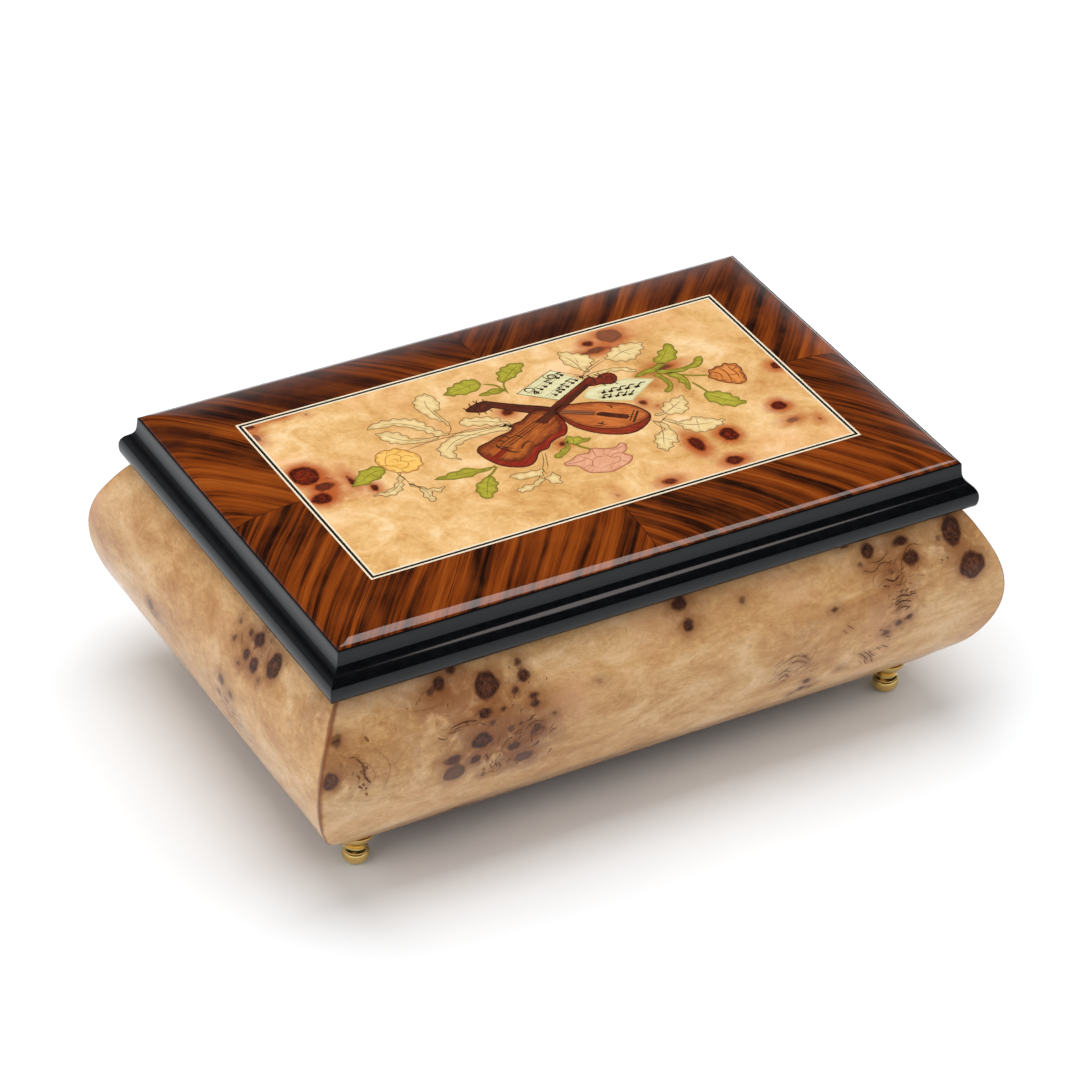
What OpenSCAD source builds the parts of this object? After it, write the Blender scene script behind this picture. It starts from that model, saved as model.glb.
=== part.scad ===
// Cylinder music box in an inlaid bombe jewellery case.
// Origin: centre of the footprint, on the surface that the feet stand on.
// +X runs along the long side, -Y is the front, +Z is up. Millimetres.

/* [Lid] */
// Length of the lid's veneered top
top_l = 188; // [184:1:194]
// Width of the lid's veneered top
top_w = 118.6; // [116:0.2:124]
// Height of the crowned panel above the table
panel_z = 81.7; // [81:0.1:84]
// How far the crown falls at the veneer's outer edge
edge_drop = 3.3; // [1.5:0.1:3.6]
// Width of the rosewood crossbanding
band_w = 19.7; // [16:0.1:22]
// Thickness of every veneer
veneer_t = 0.8; // [0.6:0.1:1.2]
// How far the lid opens, in degrees
lid_open = 95; // [80:1:98]

/* [Case] */
// Height of the case walls' top edge
wall_top = 64.8; // [64:0.1:64.9]
// Height of the case walls' bottom edge
wall_bottom = 10; // [9.6:0.1:10]
// Greatest bulge of the bombe walls beyond the lid's veneer
bulge = 10.7; // [8:0.1:13]
// Half length of the inside of the case
in_l = 85; // [84.5:0.1:85.5]
// Half width of the inside of the case
in_w = 50; // [49.6:0.1:50.2]
// Thickness of the base board
base_t = 5; // [4:0.5:5]
// Diameter of the bun of each foot
foot_d = 7.4; // [6.5:0.1:8]

/* [Movement] */
// Radius of the pinned cylinder
drum_r = 6.5; // [5.8:0.1:6.6]
// Number of teeth on the comb
tines = 18; // [12:1:18]
// Radius swept by the air brake
fan_r = 6.5; // [4:0.5:6.5]
// Travel of the stop pin under the lid
pin_travel = 3; // [2:0.5:3]

/* [Hidden] */
$fn = 48;
hl = top_l / 2;
hw = top_w / 2;
lid_z = 65;
edge_z = panel_z - edge_drop;
d1 = band_w; d2 = d1 + 0.55; d3 = d2 + 0.75; d4 = d3 + 0.55;
rim = 0.4;                      // black lip of the moulding round the veneer
base_z = 14;
base_top = base_z + base_t;
mov_x = -49;                    // movement's own origin in the case
mov_y = 0;
bed_z = 19;                     // underside of the bedplate
bed_top = 22;
ax_z = 41.75;                   // height of the cylinder's axis
xb = -27;                       // spring barrel's centre along the movement
gy = -11; gz = ax_z - 8.66;     // governor arbor
wy = -18.5; wx = 37.5;          // worm arbor
hin_y = hw + 5.6; hin_z = 64.9; // lid hinge axis
hin_x = [-55, 55];
div_x = -13;                    // movement side of the divider

// ---------- curves ----------
// Catmull-Rom curve through hand-set points, n steps a span
function cr(a, b, c, d, t) = 0.5 * (2 * b + (c - a) * t + (2 * a - 5 * b + 4 * c - d) * t * t + (3 * b - a - 3 * c + d) * t * t * t);
function curve(p, n) = concat([for (i = [0 : len(p) - 2], j = [0 : n - 1])
    cr(p[max(i - 1, 0)], p[i], p[i + 1], p[min(i + 2, len(p) - 1)], j / n)], [p[len(p) - 1]]);
function loop(p, n) = [for (i = [0 : len(p) - 1], j = [0 : n - 1])
    cr(p[(i + len(p) - 1) % len(p)], p[i], p[(i + 1) % len(p)], p[(i + 2) % len(p)], j / n)];

// bombe wall: distance outside the lid's veneer edge, height
kb = bulge / 10.7;
wall_curve = curve([[-5.8, wall_bottom], [-1.6 * kb, 14.5], [5.1 * kb, 22], [9.4 * kb, 31.5], [10.7 * kb, 41], [8.9 * kb, 50], [3.9 * kb, 59.5], [0, wall_top]], 4);

// crown of the lid: fall below the panel at distance d inside the edge
kd = edge_drop / 3.3;
crown = [[rim, 3.3], [1.5, 2.4], [3.5, 1.6], [6, 1.0], [10, 0.5], [15, 0.15], [19.5, 0]];
function top_run(t) = [for (p = crown) [p[0], panel_z - kd * p[1] - t]];

// ---------- sweeps round the case ----------
// s = +1 back or right run, s = -1 front or left run; profile is [distance from the veneer edge outwards, height]
module along_x(p, s) { mirror([0, s < 0 ? 1 : 0, 0]) translate([-hl - 30, 0, 0]) rotate([90, 0, 90]) linear_extrude(2 * hl + 60) polygon([for (q = p) [hw + q[0], q[1]]]); }
module along_y(p, s) { mirror([s < 0 ? 1 : 0, 0, 0]) translate([0, hw + 30, 0]) rotate([90, 0, 0]) linear_extrude(2 * hw + 60) polygon([for (q = p) [hl + q[0], q[1]]]); }
module mitre_x(s) { mirror([0, s < 0 ? 1 : 0, 0]) linear_extrude(100) polygon([[-hl - 20, hw + 20], [hl + 20, hw + 20], [hl - hw + 5, 5], [-hl + hw - 5, 5]]); }
module mitre_y(s) { mirror([s < 0 ? 1 : 0, 0, 0]) linear_extrude(100) polygon([[hl + 20, hw + 20], [hl + 20, -hw - 20], [hl - hw, 0]]); }
module run_x(p, s) { intersection() { along_x(p, s); mitre_x(s); } }
module run_y(p, s) { intersection() { along_y(p, s); mitre_y(s); } }

// ---------- case ----------
function wall_x() = concat([[in_w - hw, wall_bottom]], wall_curve, [[in_w - hw, wall_top]]);
function wall_y() = concat([[in_l - hl, wall_bottom]], wall_curve, [[in_l - hl, wall_top]]);
module hinge_pockets() { for (x = hin_x) translate([x - 12.7, 50.9, 64]) cube([25.4, 20, 3]); }
module hinge_holes(z, h) { for (x = hin_x, k = [-8, 8]) translate([x + k, 54.5, z]) cylinder(r = 0.9, h = h, $fn = 24); }
module front_wall() { color([0.80, 0.58, 0.36]) run_x(wall_x(), -1); }
module back_wall() { color([0.80, 0.58, 0.36]) difference() { run_x(wall_x(), 1); hinge_pockets(); hinge_holes(58, 8); } }
module left_wall() { color([0.80, 0.58, 0.36]) run_y(wall_y(), -1); }
module right_wall() { color([0.80, 0.58, 0.36]) run_y(wall_y(), 1); }
module mv() { translate([mov_x, mov_y, 0]) rotate([0, 0, -90]) children(); }
module base_board() {
    color([0.55, 0.40, 0.26]) difference() {
        translate([-in_l, -in_w, base_z]) cube([2 * in_l, 2 * in_w, base_t]);
        mv() { translate([xb, 0, 0]) cylinder(r = 3.2, h = 40); bed_screw_holes(1.5, 10, 12); }
    }
}
fx = 83; fy = 49;
module corners() { for (a = [-1, 1], b = [-1, 1]) translate([a * fx, b * fy, 0]) children(); }
module corner_blocks() {
    color([0.62, 0.46, 0.30]) difference() {
        for (a = [-1, 1], b = [-1, 1]) translate([a < 0 ? -in_l : in_l - 11, b < 0 ? -in_w : in_w - 11, wall_bottom]) cube([11, 11, base_z - wall_bottom]);
        corners() translate([0, 0, 5]) cylinder(r = 0.9, h = 8.6, $fn = 24);
    }
}
// turned foot: bun below, necked, flaring to a flange under the walls
foot_turn = curve([[2.2, 0], [3.2, 0.6], [3.7, 2], [3.55, 3.4], [2.9, 4.4], [2.75, 4.9], [3.1, 5.7], [4, 7.2], [4.9, 8.7], [5.3, wall_bottom]], 2);
module feet() {
    color([0.80, 0.62, 0.28]) corners() union() {
        rotate_extrude($fn = 64) polygon(concat([[0, 0]], [for (p = foot_turn) [p[0] * foot_d / 7.4, p[1]]], [[0, wall_bottom]]));
        translate([0, 0, 9]) cylinder(r = 0.9, h = 4.6, $fn = 24);
    }
}
module divider() { color([0.55, 0.40, 0.26]) translate([div_x, -in_w, base_top]) cube([3, 2 * in_w, 60 - base_top]); }
module compartment_floor() { color([0.45, 0.32, 0.22]) translate([div_x + 3, -in_w, base_top]) cube([in_l - div_x - 3, 2 * in_w, 2]); }
module compartment_lining() {
    color([0.45, 0.03, 0.07]) difference() {
        translate([div_x + 3, -in_w, 21]) cube([in_l - div_x - 3, 2 * in_w, 39]);
        translate([div_x + 4.2, -in_w + 1.2, 20]) cube([in_l - div_x - 5.4, 2 * in_w - 2.4, 60]);
    }
}
module soft_box(x, y, z, r) {
    hull() for (a = [r, x - r], b = [r, y - r], c = [r, z - r]) translate([a, b, c]) sphere(r = r, $fn = 16);
}
module floor_pad() { color([0.50, 0.04, 0.08]) translate([-8.3, -15.8, 21.1]) soft_box(91.8, 64.1, 4.6, 1.8); }
module ring_rolls() {
    color([0.50, 0.04, 0.08]) for (k = [0 : 2]) translate([-8.3, -43.3 + 10.7 * k, 26.4]) rotate([0, 90, 0]) cylinder(r = 5.2, h = 91.8);
}
module cover_ledges() {
    color([0.55, 0.40, 0.26]) difference() {
        for (y = [-in_w, in_w - 3]) translate([-in_l, y, 54]) cube([in_l + div_x, 3, 3]);
        cover_holes(0.6);
    }
}
module cover_holes(r) { for (x = [-77, -21], y = [-in_w + 1.6, in_w - 1.6]) translate([x, y, 54.6]) cylinder(r = r, h = 6, $fn = 24); }
module clear_cover() {
    color([0.85, 0.92, 0.95, 0.35]) difference() {
        translate([-in_l + 0.2, -in_w + 0.2, 57]) cube([in_l + div_x - 0.4, 2 * in_w - 0.4, 2]);
        cover_holes(0.7);
        mv() translate([43, 4, 50]) cylinder(r = 1.6, h = 20);
        translate([div_x - 8, 0, 50]) cylinder(r = 5, h = 20);
    }
}
module cover_screws() {
    color([0.80, 0.64, 0.34]) for (x = [-77, -21], y = [-in_w + 1.6, in_w - 1.6]) translate([x, y, 0]) {
        translate([0, 0, 54.8]) cylinder(r = 0.6, h = 4.3, $fn = 24);
        translate([0, 0, 59]) cylinder(r1 = 1.3, r2 = 1.0, h = 0.6, $fn = 24);
    }
}

// ---------- hinges ----------
// one leaf: s = -1 under the case top line, s = +1 in the lid
module leaf(x, s) {
    z = s < 0 ? 64 : 65;
    difference() {
        union() {
            translate([x - 12.5, 51, z]) cube([25, 11.8, 0.8]);
            if (s < 0) for (k = [-12.5, 4.2]) translate([x + k, 62.5, z]) cube([8.3, hin_y - 62.5, 0.8]);
            if (s > 0) translate([x - 4, 62.5, z]) cube([8, hin_y - 62.5, 0.8]);
            if (s < 0) for (k = [-12.5, 4.2]) translate([x + k, hin_y, hin_z]) rotate([0, 90, 0]) cylinder(r = 1.6, h = 8.3);
            if (s > 0) translate([x - 4, hin_y, hin_z]) rotate([0, 90, 0]) cylinder(r = 1.6, h = 8);
        }
        translate([x - 20, hin_y, hin_z]) rotate([0, 90, 0]) cylinder(r = s < 0 ? 0.6 : 0.66, h = 40, $fn = 32);
        for (k = [-8, 8]) translate([x + k, 54.5, 60]) cylinder(r = 0.9, h = 10, $fn = 24);
    }
}
module case_hinge_leaves() { color([0.83, 0.66, 0.34]) for (x = hin_x) leaf(x, -1); }
module lid_hinge_leaves() { color([0.83, 0.66, 0.34]) for (x = hin_x) leaf(x, 1); }
module hinge_pins() { color([0.70, 0.55, 0.30]) for (x = hin_x) translate([x - 12.8, hin_y, hin_z]) rotate([0, 90, 0]) cylinder(r = 0.6, h = 25.6, $fn = 32); }
module case_hinge_screws() { color([0.83, 0.66, 0.34]) hinge_holes(59, 5.8); }
module lid_hinge_screws() { color([0.83, 0.66, 0.34]) hinge_holes(65, 3.4); }

// ---------- movement: everything below is in the movement's own frame ----------
// thin-toothed wheel outline: n teeth of module m, first tooth at angle ph
module gear2d(n, m, ph, tr, tt, rr, rt) {
    polygon([for (k = [0 : n - 1], q = [[-tr, rr], [-tt, rt], [tt, rt], [tr, rr]])
        let (a = ph + k * 360 / n + q[0]) [q[1] * cos(a), q[1] * sin(a)]]);
}
module spin_x(x, y, z, h) { translate([x, y, z]) rotate([90, 0, 90]) linear_extrude(h) children(); }
module rod_x(x, y, z, r, h) { translate([x, y, z]) rotate([0, 90, 0]) cylinder(r = r, h = h, $fn = 32); }
module bed_screw_holes(r, z, h) { for (x = [-37, 38.5], y = [-22.5, 22.5]) translate([x, y, z]) cylinder(r = r, h = h, $fn = 24); }
screws_at = [[-5.5, -4], [-5.5, 4], [28.5, -4], [28.5, 4], [38, -24], [38, -8.5]];
module bedplate() {
    color([0.72, 0.60, 0.36]) mv() difference() {
        translate([-43.5, -28, bed_z]) cube([89, 56, bed_top - bed_z]);
        translate([xb, 0, 10]) cylinder(r = 2.05, h = 20);
        bed_screw_holes(1.5, 10, 20);
        for (p = screws_at) translate([p[0], p[1], 15]) cylinder(r = 0.8, h = 10, $fn = 24);
    }
}
module click_spring() { color([0.75, 0.75, 0.78]) mv() translate([xb, 0, 0]) for (z = [22.41, 23.22]) rotate_extrude() translate([2.9, z]) circle(r = 0.4, $fn = 16); }
module cylinder_brackets() {
    color([0.78, 0.65, 0.38]) mv() difference() {
        union() {
            spin_x(-11, 0, 0, 2) polygon([[-8, bed_top], [8, bed_top], [4, 45], [2, 46.5], [-2, 46.5], [-4, 45]]);
            translate([-9, -6, bed_top]) cube([6, 12, 1.6]);
            spin_x(32.5, 0, 0, 2) polygon([[-15, bed_top], [7, bed_top], [4, 45], [2, 46.5], [-2, 46.5], [-4, 45], [-13, 37], [-15, 33]]);
            translate([26, -6, bed_top]) cube([6.5, 12, 1.6]);
        }
        rod_x(-12, 0, ax_z, 1.05, 4); rod_x(32, 0, ax_z, 1.05, 4); rod_x(32, gy, gz, 0.85, 4);
        for (p = screws_at) translate([p[0], p[1], 15]) cylinder(r = 0.8, h = 10, $fn = 24);
    }
}
comb_x = [-1, 10, 21];
module comb_base() {
    color([0.55, 0.56, 0.58]) mv() difference() {
        translate([-8, 17.5, bed_top]) cube([36, 9.5, 41.25 - bed_top]);
        for (x = comb_x) translate([x, 23, 35]) cylinder(r = 1.1, h = 10, $fn = 24);
    }
}
module comb() {
    color([0.72, 0.73, 0.76]) mv() {
        difference() {
            union() {
                translate([-8, 17.5, 41.25]) cube([36, 9.5, 1.7]);
                for (k = [0 : tines - 1]) translate([tine_x(k) - 0.72, 7.45, 41.25]) cube([1.44, 10.1, 0.9]);
            }
            for (x = comb_x) translate([x, 23, 35]) cylinder(r = 1.1, h = 10, $fn = 24);
        }
    }
}
function tine_x(k) = 10 + (k - (tines - 1) / 2) * 1.9;
module governor_frame() {
    color([0.78, 0.65, 0.38]) mv() difference() {
        union() {
            translate([40, -26, bed_top]) cube([1.5, 20, 20]);
            translate([35.2, -26, bed_top]) cube([6.3, 20, 2.2]);
            translate([35.2, -26, 40.5]) cube([6.3, 13, 1.5]);
        }
        rod_x(39, gy, gz, 0.85, 4);
        translate([wx, wy, 20]) cylinder(r = 0.65, h = 40, $fn = 32);
        for (p = screws_at) translate([p[0], p[1], 15]) cylinder(r = 0.8, h = 10, $fn = 24);
    }
}
module stop_posts() {
    color([0.78, 0.65, 0.38]) mv() {
        translate([38, 2, bed_top]) cylinder(r = 1.4, h = 22.7);
        translate([38, 2, bed_top + 22]) cylinder(r = 0.9, h = 3.2);
        difference() {
            translate([41.2, 2.2, bed_top]) cube([3.6, 3.6, 22]);
            translate([43, 4, 25]) cylinder(r = 0.95, h = 30, $fn = 32);
        }
    }
}
module screw(l) { translate([0, 0, -l]) cylinder(r = 0.8, h = l, $fn = 24); cylinder(r = 1.5, h = 0.9, $fn = 24); }
module movement_screws() {
    color([0.66, 0.67, 0.72]) mv() {
        for (p = [screws_at[0], screws_at[1], screws_at[2], screws_at[3]]) translate([p[0], p[1], 23.6]) screw(3);
        for (p = [screws_at[4], screws_at[5]]) translate([p[0], p[1], 24.2]) screw(3);
        for (x = comb_x) translate([x, 23, 42.95]) { translate([0, 0, -7]) cylinder(r = 1.1, h = 7, $fn = 24); cylinder(r = 2.1, h = 1.2, $fn = 32); }
        bed_screw_holes(1.5, base_z, bed_top - base_z);
        for (x = [-37, 38.5], y = [-22.5, 22.5]) translate([x, y, base_z - 1]) cylinder(r = 2.4, h = 1, $fn = 32);
    }
}
module winding_arbor() {
    color([0.70, 0.70, 0.73]) mv() translate([xb, 0, 0]) { translate([0, 0, 3.8]) cylinder(r = 2, h = 32.4); translate([0, 0, 35.8]) cylinder(r = 3, h = 1); }
}
module winding_key() {
    color([0.80, 0.64, 0.34]) mv() translate([xb, 0, 0]) difference() {
        union() {
            translate([0, 0, 3]) cylinder(r = 3.2, h = 9.6);
            rotate([90, 0, 0]) linear_extrude(2, center = true) difference() {
                union() { for (s = [-1, 1]) translate([s * 6.2, 6.6]) circle(r = 4); translate([-6, 4.2]) square([12, 4.8]); }
                for (s = [-1, 1]) translate([s * 6.4, 6.6]) circle(r = 1.5);
            }
        }
        translate([0, 0, 3.8]) cylinder(r = 2, h = 20);
    }
}
module spring_barrel() {
    color([0.80, 0.66, 0.36]) mv() translate([xb, 0, 0]) difference() {
        translate([0, 0, 24]) cylinder(r = 15, h = 10, $fn = 96);
        translate([0, 0, 25.2]) cylinder(r = 14, h = 12, $fn = 96);
        cylinder(r = 2.05, h = 60);
    }
}
crown_n = 28;
module great_wheel() {
    color([0.86, 0.72, 0.40]) mv() translate([xb, 0, 0]) union() {
        difference() { translate([0, 0, 34]) cylinder(r = 15.2, h = 1.5, $fn = 96); cylinder(r = 2.05, h = 60); }
        for (k = [0 : crown_n - 1]) rotate([0, 0, k * 360 / crown_n]) translate([15.2, 0, 0]) rotate([0, -90, 0]) linear_extrude(2.4)
            polygon([[35, -0.72], [35.6, -0.72], [36.75, -0.52], [37.6, -0.22], [37.6, 0.22], [36.75, 0.52], [35.6, 0.72], [35, 0.72]]);
    }
}
module mainspring() {
    n = 16; t = 7;
    outer = [for (i = [0 : n * t]) let (a = 360 * i / n, r = 3 + 10.6 * i / (n * t)) [(r + 0.18) * cos(a), (r + 0.18) * sin(a)]];
    inner = [for (i = [n * t : -1 : 0]) let (a = 360 * i / n, r = 3 + 10.6 * i / (n * t)) [(r - 0.18) * cos(a), (r - 0.18) * sin(a)]];
    color([0.35, 0.38, 0.45]) mv() translate([xb, 0, 25.6]) linear_extrude(7.8) polygon(concat(outer, inner));
}
module music_cylinder() {
    color([0.86, 0.72, 0.42]) mv() difference() { rod96(-8, drum_r, 36); rod_x(-9, 0, ax_z, 1, 50); }
}
module rod96(x, r, h) { translate([x, 0, ax_z]) rotate([0, 90, 0]) cylinder(r = r, h = h, $fn = 96); }
// three pins a track, set round the cylinder by a fixed rule
module cylinder_pins() {
    color([0.75, 0.75, 0.78]) mv() for (k = [0 : tines - 1], j = [0 : 2])
        translate([tine_x(k), 0, ax_z]) rotate([(k * 137 + j * 97 + k * j * 31) % 360 + 12, 0, 0]) translate([0, 0, drum_r + 0.01]) cylinder(r = 0.25, h = 0.75, $fn = 16);
}
module cylinder_arbor() {
    color([0.74, 0.74, 0.77]) mv() {
        rod_x(-12.2, 0, ax_z, 1, 47.4);
        difference() { spin_x(-14.3, 0, ax_z, 2.2) gear2d(10, 1, 0, 9, 3.2, 3.8, 5.85); }
    }
}
module drive_gear() { color([0.86, 0.72, 0.40]) mv() difference() { spin_x(29, 0, ax_z, 2.5) gear2d(30, 0.7, 218.21, 2.4, 1.0, 9.65, 11.1); rod_x(28, 0, ax_z, 1, 6); } }
module governor_arbor() {
    color([0.74, 0.74, 0.77]) mv() { rod_x(31, gy, gz, 0.8, 10.7); spin_x(28.8, gy, gz, 2.9) gear2d(10, 0.7, 20.21, 8.5, 3.2, 2.65, 4.1); }
}
module governor_wheel() { color([0.86, 0.72, 0.40]) mv() difference() { spin_x(37, gy, gz, 1) gear2d(14, 0.8, 180, 6.5, 1.5, 4.9, 6.0); rod_x(36, gy, gz, 0.8, 4); } }
worm_p = 0.8 * 3.14159265;
module worm_arbor() {
    color([0.74, 0.74, 0.77]) mv() translate([wx, wy, 0]) {
        translate([0, 0, 22.3]) cylinder(r = 0.6, h = 6.3, $fn = 32);
        // single-start thread: an offset disc swept up in a right-hand turn, its low side towards the wheel at the wheel's height
        translate([0, 0, gz - 2 * worm_p]) rotate([0, 0, -90]) linear_extrude(4 * worm_p, twist = -1440, slices = 40) translate([0.55, 0]) circle(r = 1.9, $fn = 14);
        translate([0, 0, gz + 2 * worm_p]) cylinder(r = 0.6, h = 51 - gz - 2 * worm_p, $fn = 32);
    }
}
module air_fan() {
    color([0.80, 0.66, 0.36]) mv() translate([wx, wy, 43]) difference() {
        union() { cylinder(r = 1.4, h = 7); translate([-fan_r, -0.2, 0.6]) cube([2 * fan_r, 0.4, 6]); }
        translate([0, 0, -1]) cylinder(r = 0.6, h = 10, $fn = 32);
    }
}
module stop_lever() {
    color([0.78, 0.78, 0.80]) mv() translate([38, 2, 45]) difference() {
        union() { cylinder(r = 2, h = 1.2); translate([-0.7, -13.2, 0]) cube([1.4, 13.2, 1.2]); }
        translate([0, 0, -1]) cylinder(r = 0.95, h = 4, $fn = 32);
    }
}
module stop_pin() { color([0.80, 0.66, 0.36]) mv() translate([43, 4, 30]) cylinder(r = 0.9, h = 37.6, $fn = 32); }

// ---------- lid ----------
function mould() = concat([[in_w - hw, lid_z], [2.4, lid_z], [3.05, lid_z + 0.2], [3.55, lid_z + 0.75], [3.85, lid_z + 1.6], [3.98, lid_z + 2.6], [3.98, lid_z + 3.6], [3.82, lid_z + 4.6]],
    [[3.48, lid_z + 5.5], [2.95, lid_z + 6.3], [2.25, lid_z + 7.0], [1.5, lid_z + 7.65], [0.9, lid_z + 8.3], [0.5, lid_z + 9.1], [0.3, lid_z + 9.9], [0.17, lid_z + 10.8]],
    [[0.1, edge_z - 1.6], [0.05, edge_z - 0.8], [0.02, edge_z - 0.25], [-0.12, edge_z - 0.02], [-rim, edge_z], [-rim, lid_z + 4], [in_w - hw, lid_z + 4]]);
function mould_y() = [for (p = mould()) p[0] < -1 ? [in_l - hl, p[1]] : p];
module moulding_front() { color([0.07, 0.05, 0.05]) run_x(mould(), -1); }
module moulding_back() { color([0.07, 0.05, 0.05]) difference() { run_x(mould(), 1); for (x = hin_x) translate([x - 12.7, 50.9, 64]) cube([25.4, 12, 1.8]); hinge_holes(60, 8.6); } }
module moulding_sides() { color([0.07, 0.05, 0.05]) { run_y(mould_y(), 1); run_y(mould_y(), -1); } }
function core_half(h) = [for (p = top_run(veneer_t)) [h - p[0], p[1]]];
function rev(p) = [for (i = [len(p) - 1 : -1 : 0]) p[i]];
function core_sec(h) = concat([[-h + rim, lid_z + 4], [h - rim, lid_z + 4]], core_half(h), [for (p = rev(core_half(h))) [-p[0], p[1]]]);
module lid_core() {
    color([0.50, 0.36, 0.24]) intersection() {
        translate([-hl, 0, 0]) rotate([90, 0, 90]) linear_extrude(top_l) polygon(core_sec(hw));
        translate([0, hw, 0]) rotate([90, 0, 0]) linear_extrude(top_w) polygon(core_sec(hl));
    }
}
// crossbanding run: crowned strip of veneer from the edge inwards
function band() = let (c = [for (p = crown) if (p[0] < band_w) p]) concat(
    [for (p = c) [-p[0], panel_z - kd * p[1]]], [[-band_w, panel_z], [-band_w, panel_z - veneer_t]], [for (p = rev(c)) [-p[0], panel_z - kd * p[1] - veneer_t]]);
module quarter(sx, sy) {
    color([0.52, 0.24, 0.10]) intersection() {
        union() { run_x(band(), sy); run_y(band(), sx); }
        translate([sx < 0 ? -120 : 0, sy < 0 ? -90 : 0, 60]) cube([120, 90, 40]);
    }
}
module rosewood_front_left() quarter(-1, -1);
module rosewood_front_right() quarter(1, -1);
module rosewood_back_left() quarter(-1, 1);
module rosewood_back_right() quarter(1, 1);
module frame2d(a, b) { difference() { square([2 * (hl - a), 2 * (hw - a)], center = true); square([2 * (hl - b), 2 * (hw - b)], center = true); } }
module veneer() { translate([0, 0, panel_z - veneer_t]) linear_extrude(veneer_t) children(); }
module light_stringing() { color([0.88, 0.80, 0.68]) { veneer() frame2d(d1, d2); veneer() frame2d(d3, d4); } }
module ebony_stringing() { color([0.08, 0.06, 0.05]) veneer() frame2d(d2, d3); }

// marquetry outlines, in millimetres from the panel's centre
violin_body = loop([[-22.2, -1], [-21.5, -5], [-19.8, -8.6], [-17.5, -10.8], [-14.5, -12.3], [-11.8, -12.2], [-9.5, -10.4], [-7.4, -8], [-4.4, -7.5], [-2.6, -5.6], [0.4, -4.3], [3.2, -3.6], [5.2, -0.6], [5.8, 3], [5.6, 6.4], [3.6, 9.2], [0.6, 10], [-2.2, 8.6], [-4.6, 7.2], [-7.4, 6.8], [-8.8, 4.8], [-11, 3.9], [-14, 3.4], [-17.2, 2.2], [-20.6, 1.4]], 2);
violin_neck = [[4.6, 8.6], [8, 10.6], [14, 13.7], [20, 16.8], [22.4, 18], [24.6, 16.9], [27, 17.5], [28.8, 17], [29.4, 15.2], [28.8, 13.2], [27, 12.2], [24.4, 13.2], [20.4, 14], [14.4, 10.8], [9, 7.4], [5.2, 5.4]];
mandolin_body = loop([[6.2, 7.6], [9, 8.6], [13, 7.9], [18, 6.3], [22, 4], [25.8, 1.2], [28, -3], [28.2, -6], [26, -8.6], [22.6, -10.6], [18.6, -11.1], [14, -9.2], [10, -6], [7.2, -2], [6, 2.6]], 2);
mandolin_neck = [[7, 8.6], [4, 11], [-2, 15], [-8, 19.4], [-10.6, 20], [-13.6, 19.3], [-15.4, 17.9], [-13, 16.1], [-10.2, 15.6], [-8.4, 16.4], [-3, 11.6], [2, 7.6], [6, 6]];
page_a = [[0.8, 19.4], [15, 25.7], [20.6, 17], [9.8, 11.3]];
page_b = [[16, 9.6], [19, 12.6], [27, 13], [32, 12.6], [38.4, 9.2], [27.6, 2.6], [20, 6]];
leaves = [
    [[-17.4, 27.7], [-15, 26], [-11, 25.2], [-8, 25.6], [-5.8, 27.6], [-5.6, 29.4], [-6.6, 31.2], [-9, 31.9], [-12, 31.2], [-15, 30.2]],
    [[0.4, 26], [0.2, 29.6], [2.6, 32.4], [6, 33.5], [9.5, 32], [8.4, 29.4], [6, 27.2], [3, 25.9]],
    [[-8.8, 23], [-6, 24.2], [-2.6, 24.2], [-0.8, 22.6], [-4, 21.7], [-7, 22]],
    [[-59.5, 0], [-56, 3.4], [-54, 5.7], [-50, 5.9], [-48, 4], [-48.6, 1.8], [-51, 0], [-55, -1.2]],
    [[-38.6, -7], [-35, -6.3], [-32, -5.8], [-28.6, -5.8], [-26, -7.5], [-22.6, -8.2], [-22.8, -9.4], [-26, -9.8], [-31, -9.9], [-35, -8.7]],
    [[-31, -21], [-31.6, -17], [-30, -14.4], [-27, -12.4], [-24.6, -12], [-23.8, -13.4], [-24.2, -16], [-26, -19], [-29, -20.8]],
    [[-5, -12.4], [-3.6, -10.6], [0, -9], [1.2, -6], [2.6, -4.8], [4.6, -6.2], [8, -8], [6.6, -9.2], [3.6, -9], [1, -9.2], [-0.6, -11.6], [-3.6, -13]],
    [[34, 12.4], [38, 14.2], [42, 15], [43.6, 18.4], [46, 20.6], [50, 23], [51.4, 21], [50.6, 17.6], [49, 15], [45, 14.6], [41, 12.6], [48, 10.6], [52, 11.2], [55.4, 13.4], [55, 10.6], [52, 8.8], [46, 9], [46.4, 5.2], [45.4, 1.6], [44, 0], [44.4, 4], [43.6, 8.4], [42.2, 8.6], [41.6, 4], [40, 1.6], [37.6, 1.8], [39.8, 4], [40.2, 9], [38.4, 11]],
    [[46.4, -4.4], [48, -3], [51, -4.4], [53, -6.4], [54, -8.6], [55.2, -11], [54.4, -12.4], [50.6, -12.6], [48, -10], [46, -7]]];
flowers = [
    [[-48.5, 7.4], [-47, 10], [-44.6, 11], [-41, 10.5], [-39, 8.6], [-37.4, 6], [-37.5, 2], [-39, 0.2], [-42, -0.9], [-45, 0], [-47, 2], [-48, 4.5]],
    [[52.2, 3], [54, 6], [56.6, 6.6], [59.4, 7], [62, 5.6], [62.3, 3.4], [61.5, 0.6], [61, -2], [58.6, -3.6], [56, -2], [54, 0]],
    [[-4, -15.5], [-1.4, -15], [1, -13.7], [4, -14.1], [6, -12.6], [9, -14.3], [12, -15], [14, -13.8], [15.2, -15.2], [14, -17.4], [12.6, -18.6], [14, -20.6], [12, -23], [9, -23.9], [6, -24.8], [3, -24], [0, -22.6], [-1, -20.2], [-1.6, -18.4], [-4, -17]]];
module violin2d() { polygon(violin_body); polygon(violin_neck); }
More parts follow.
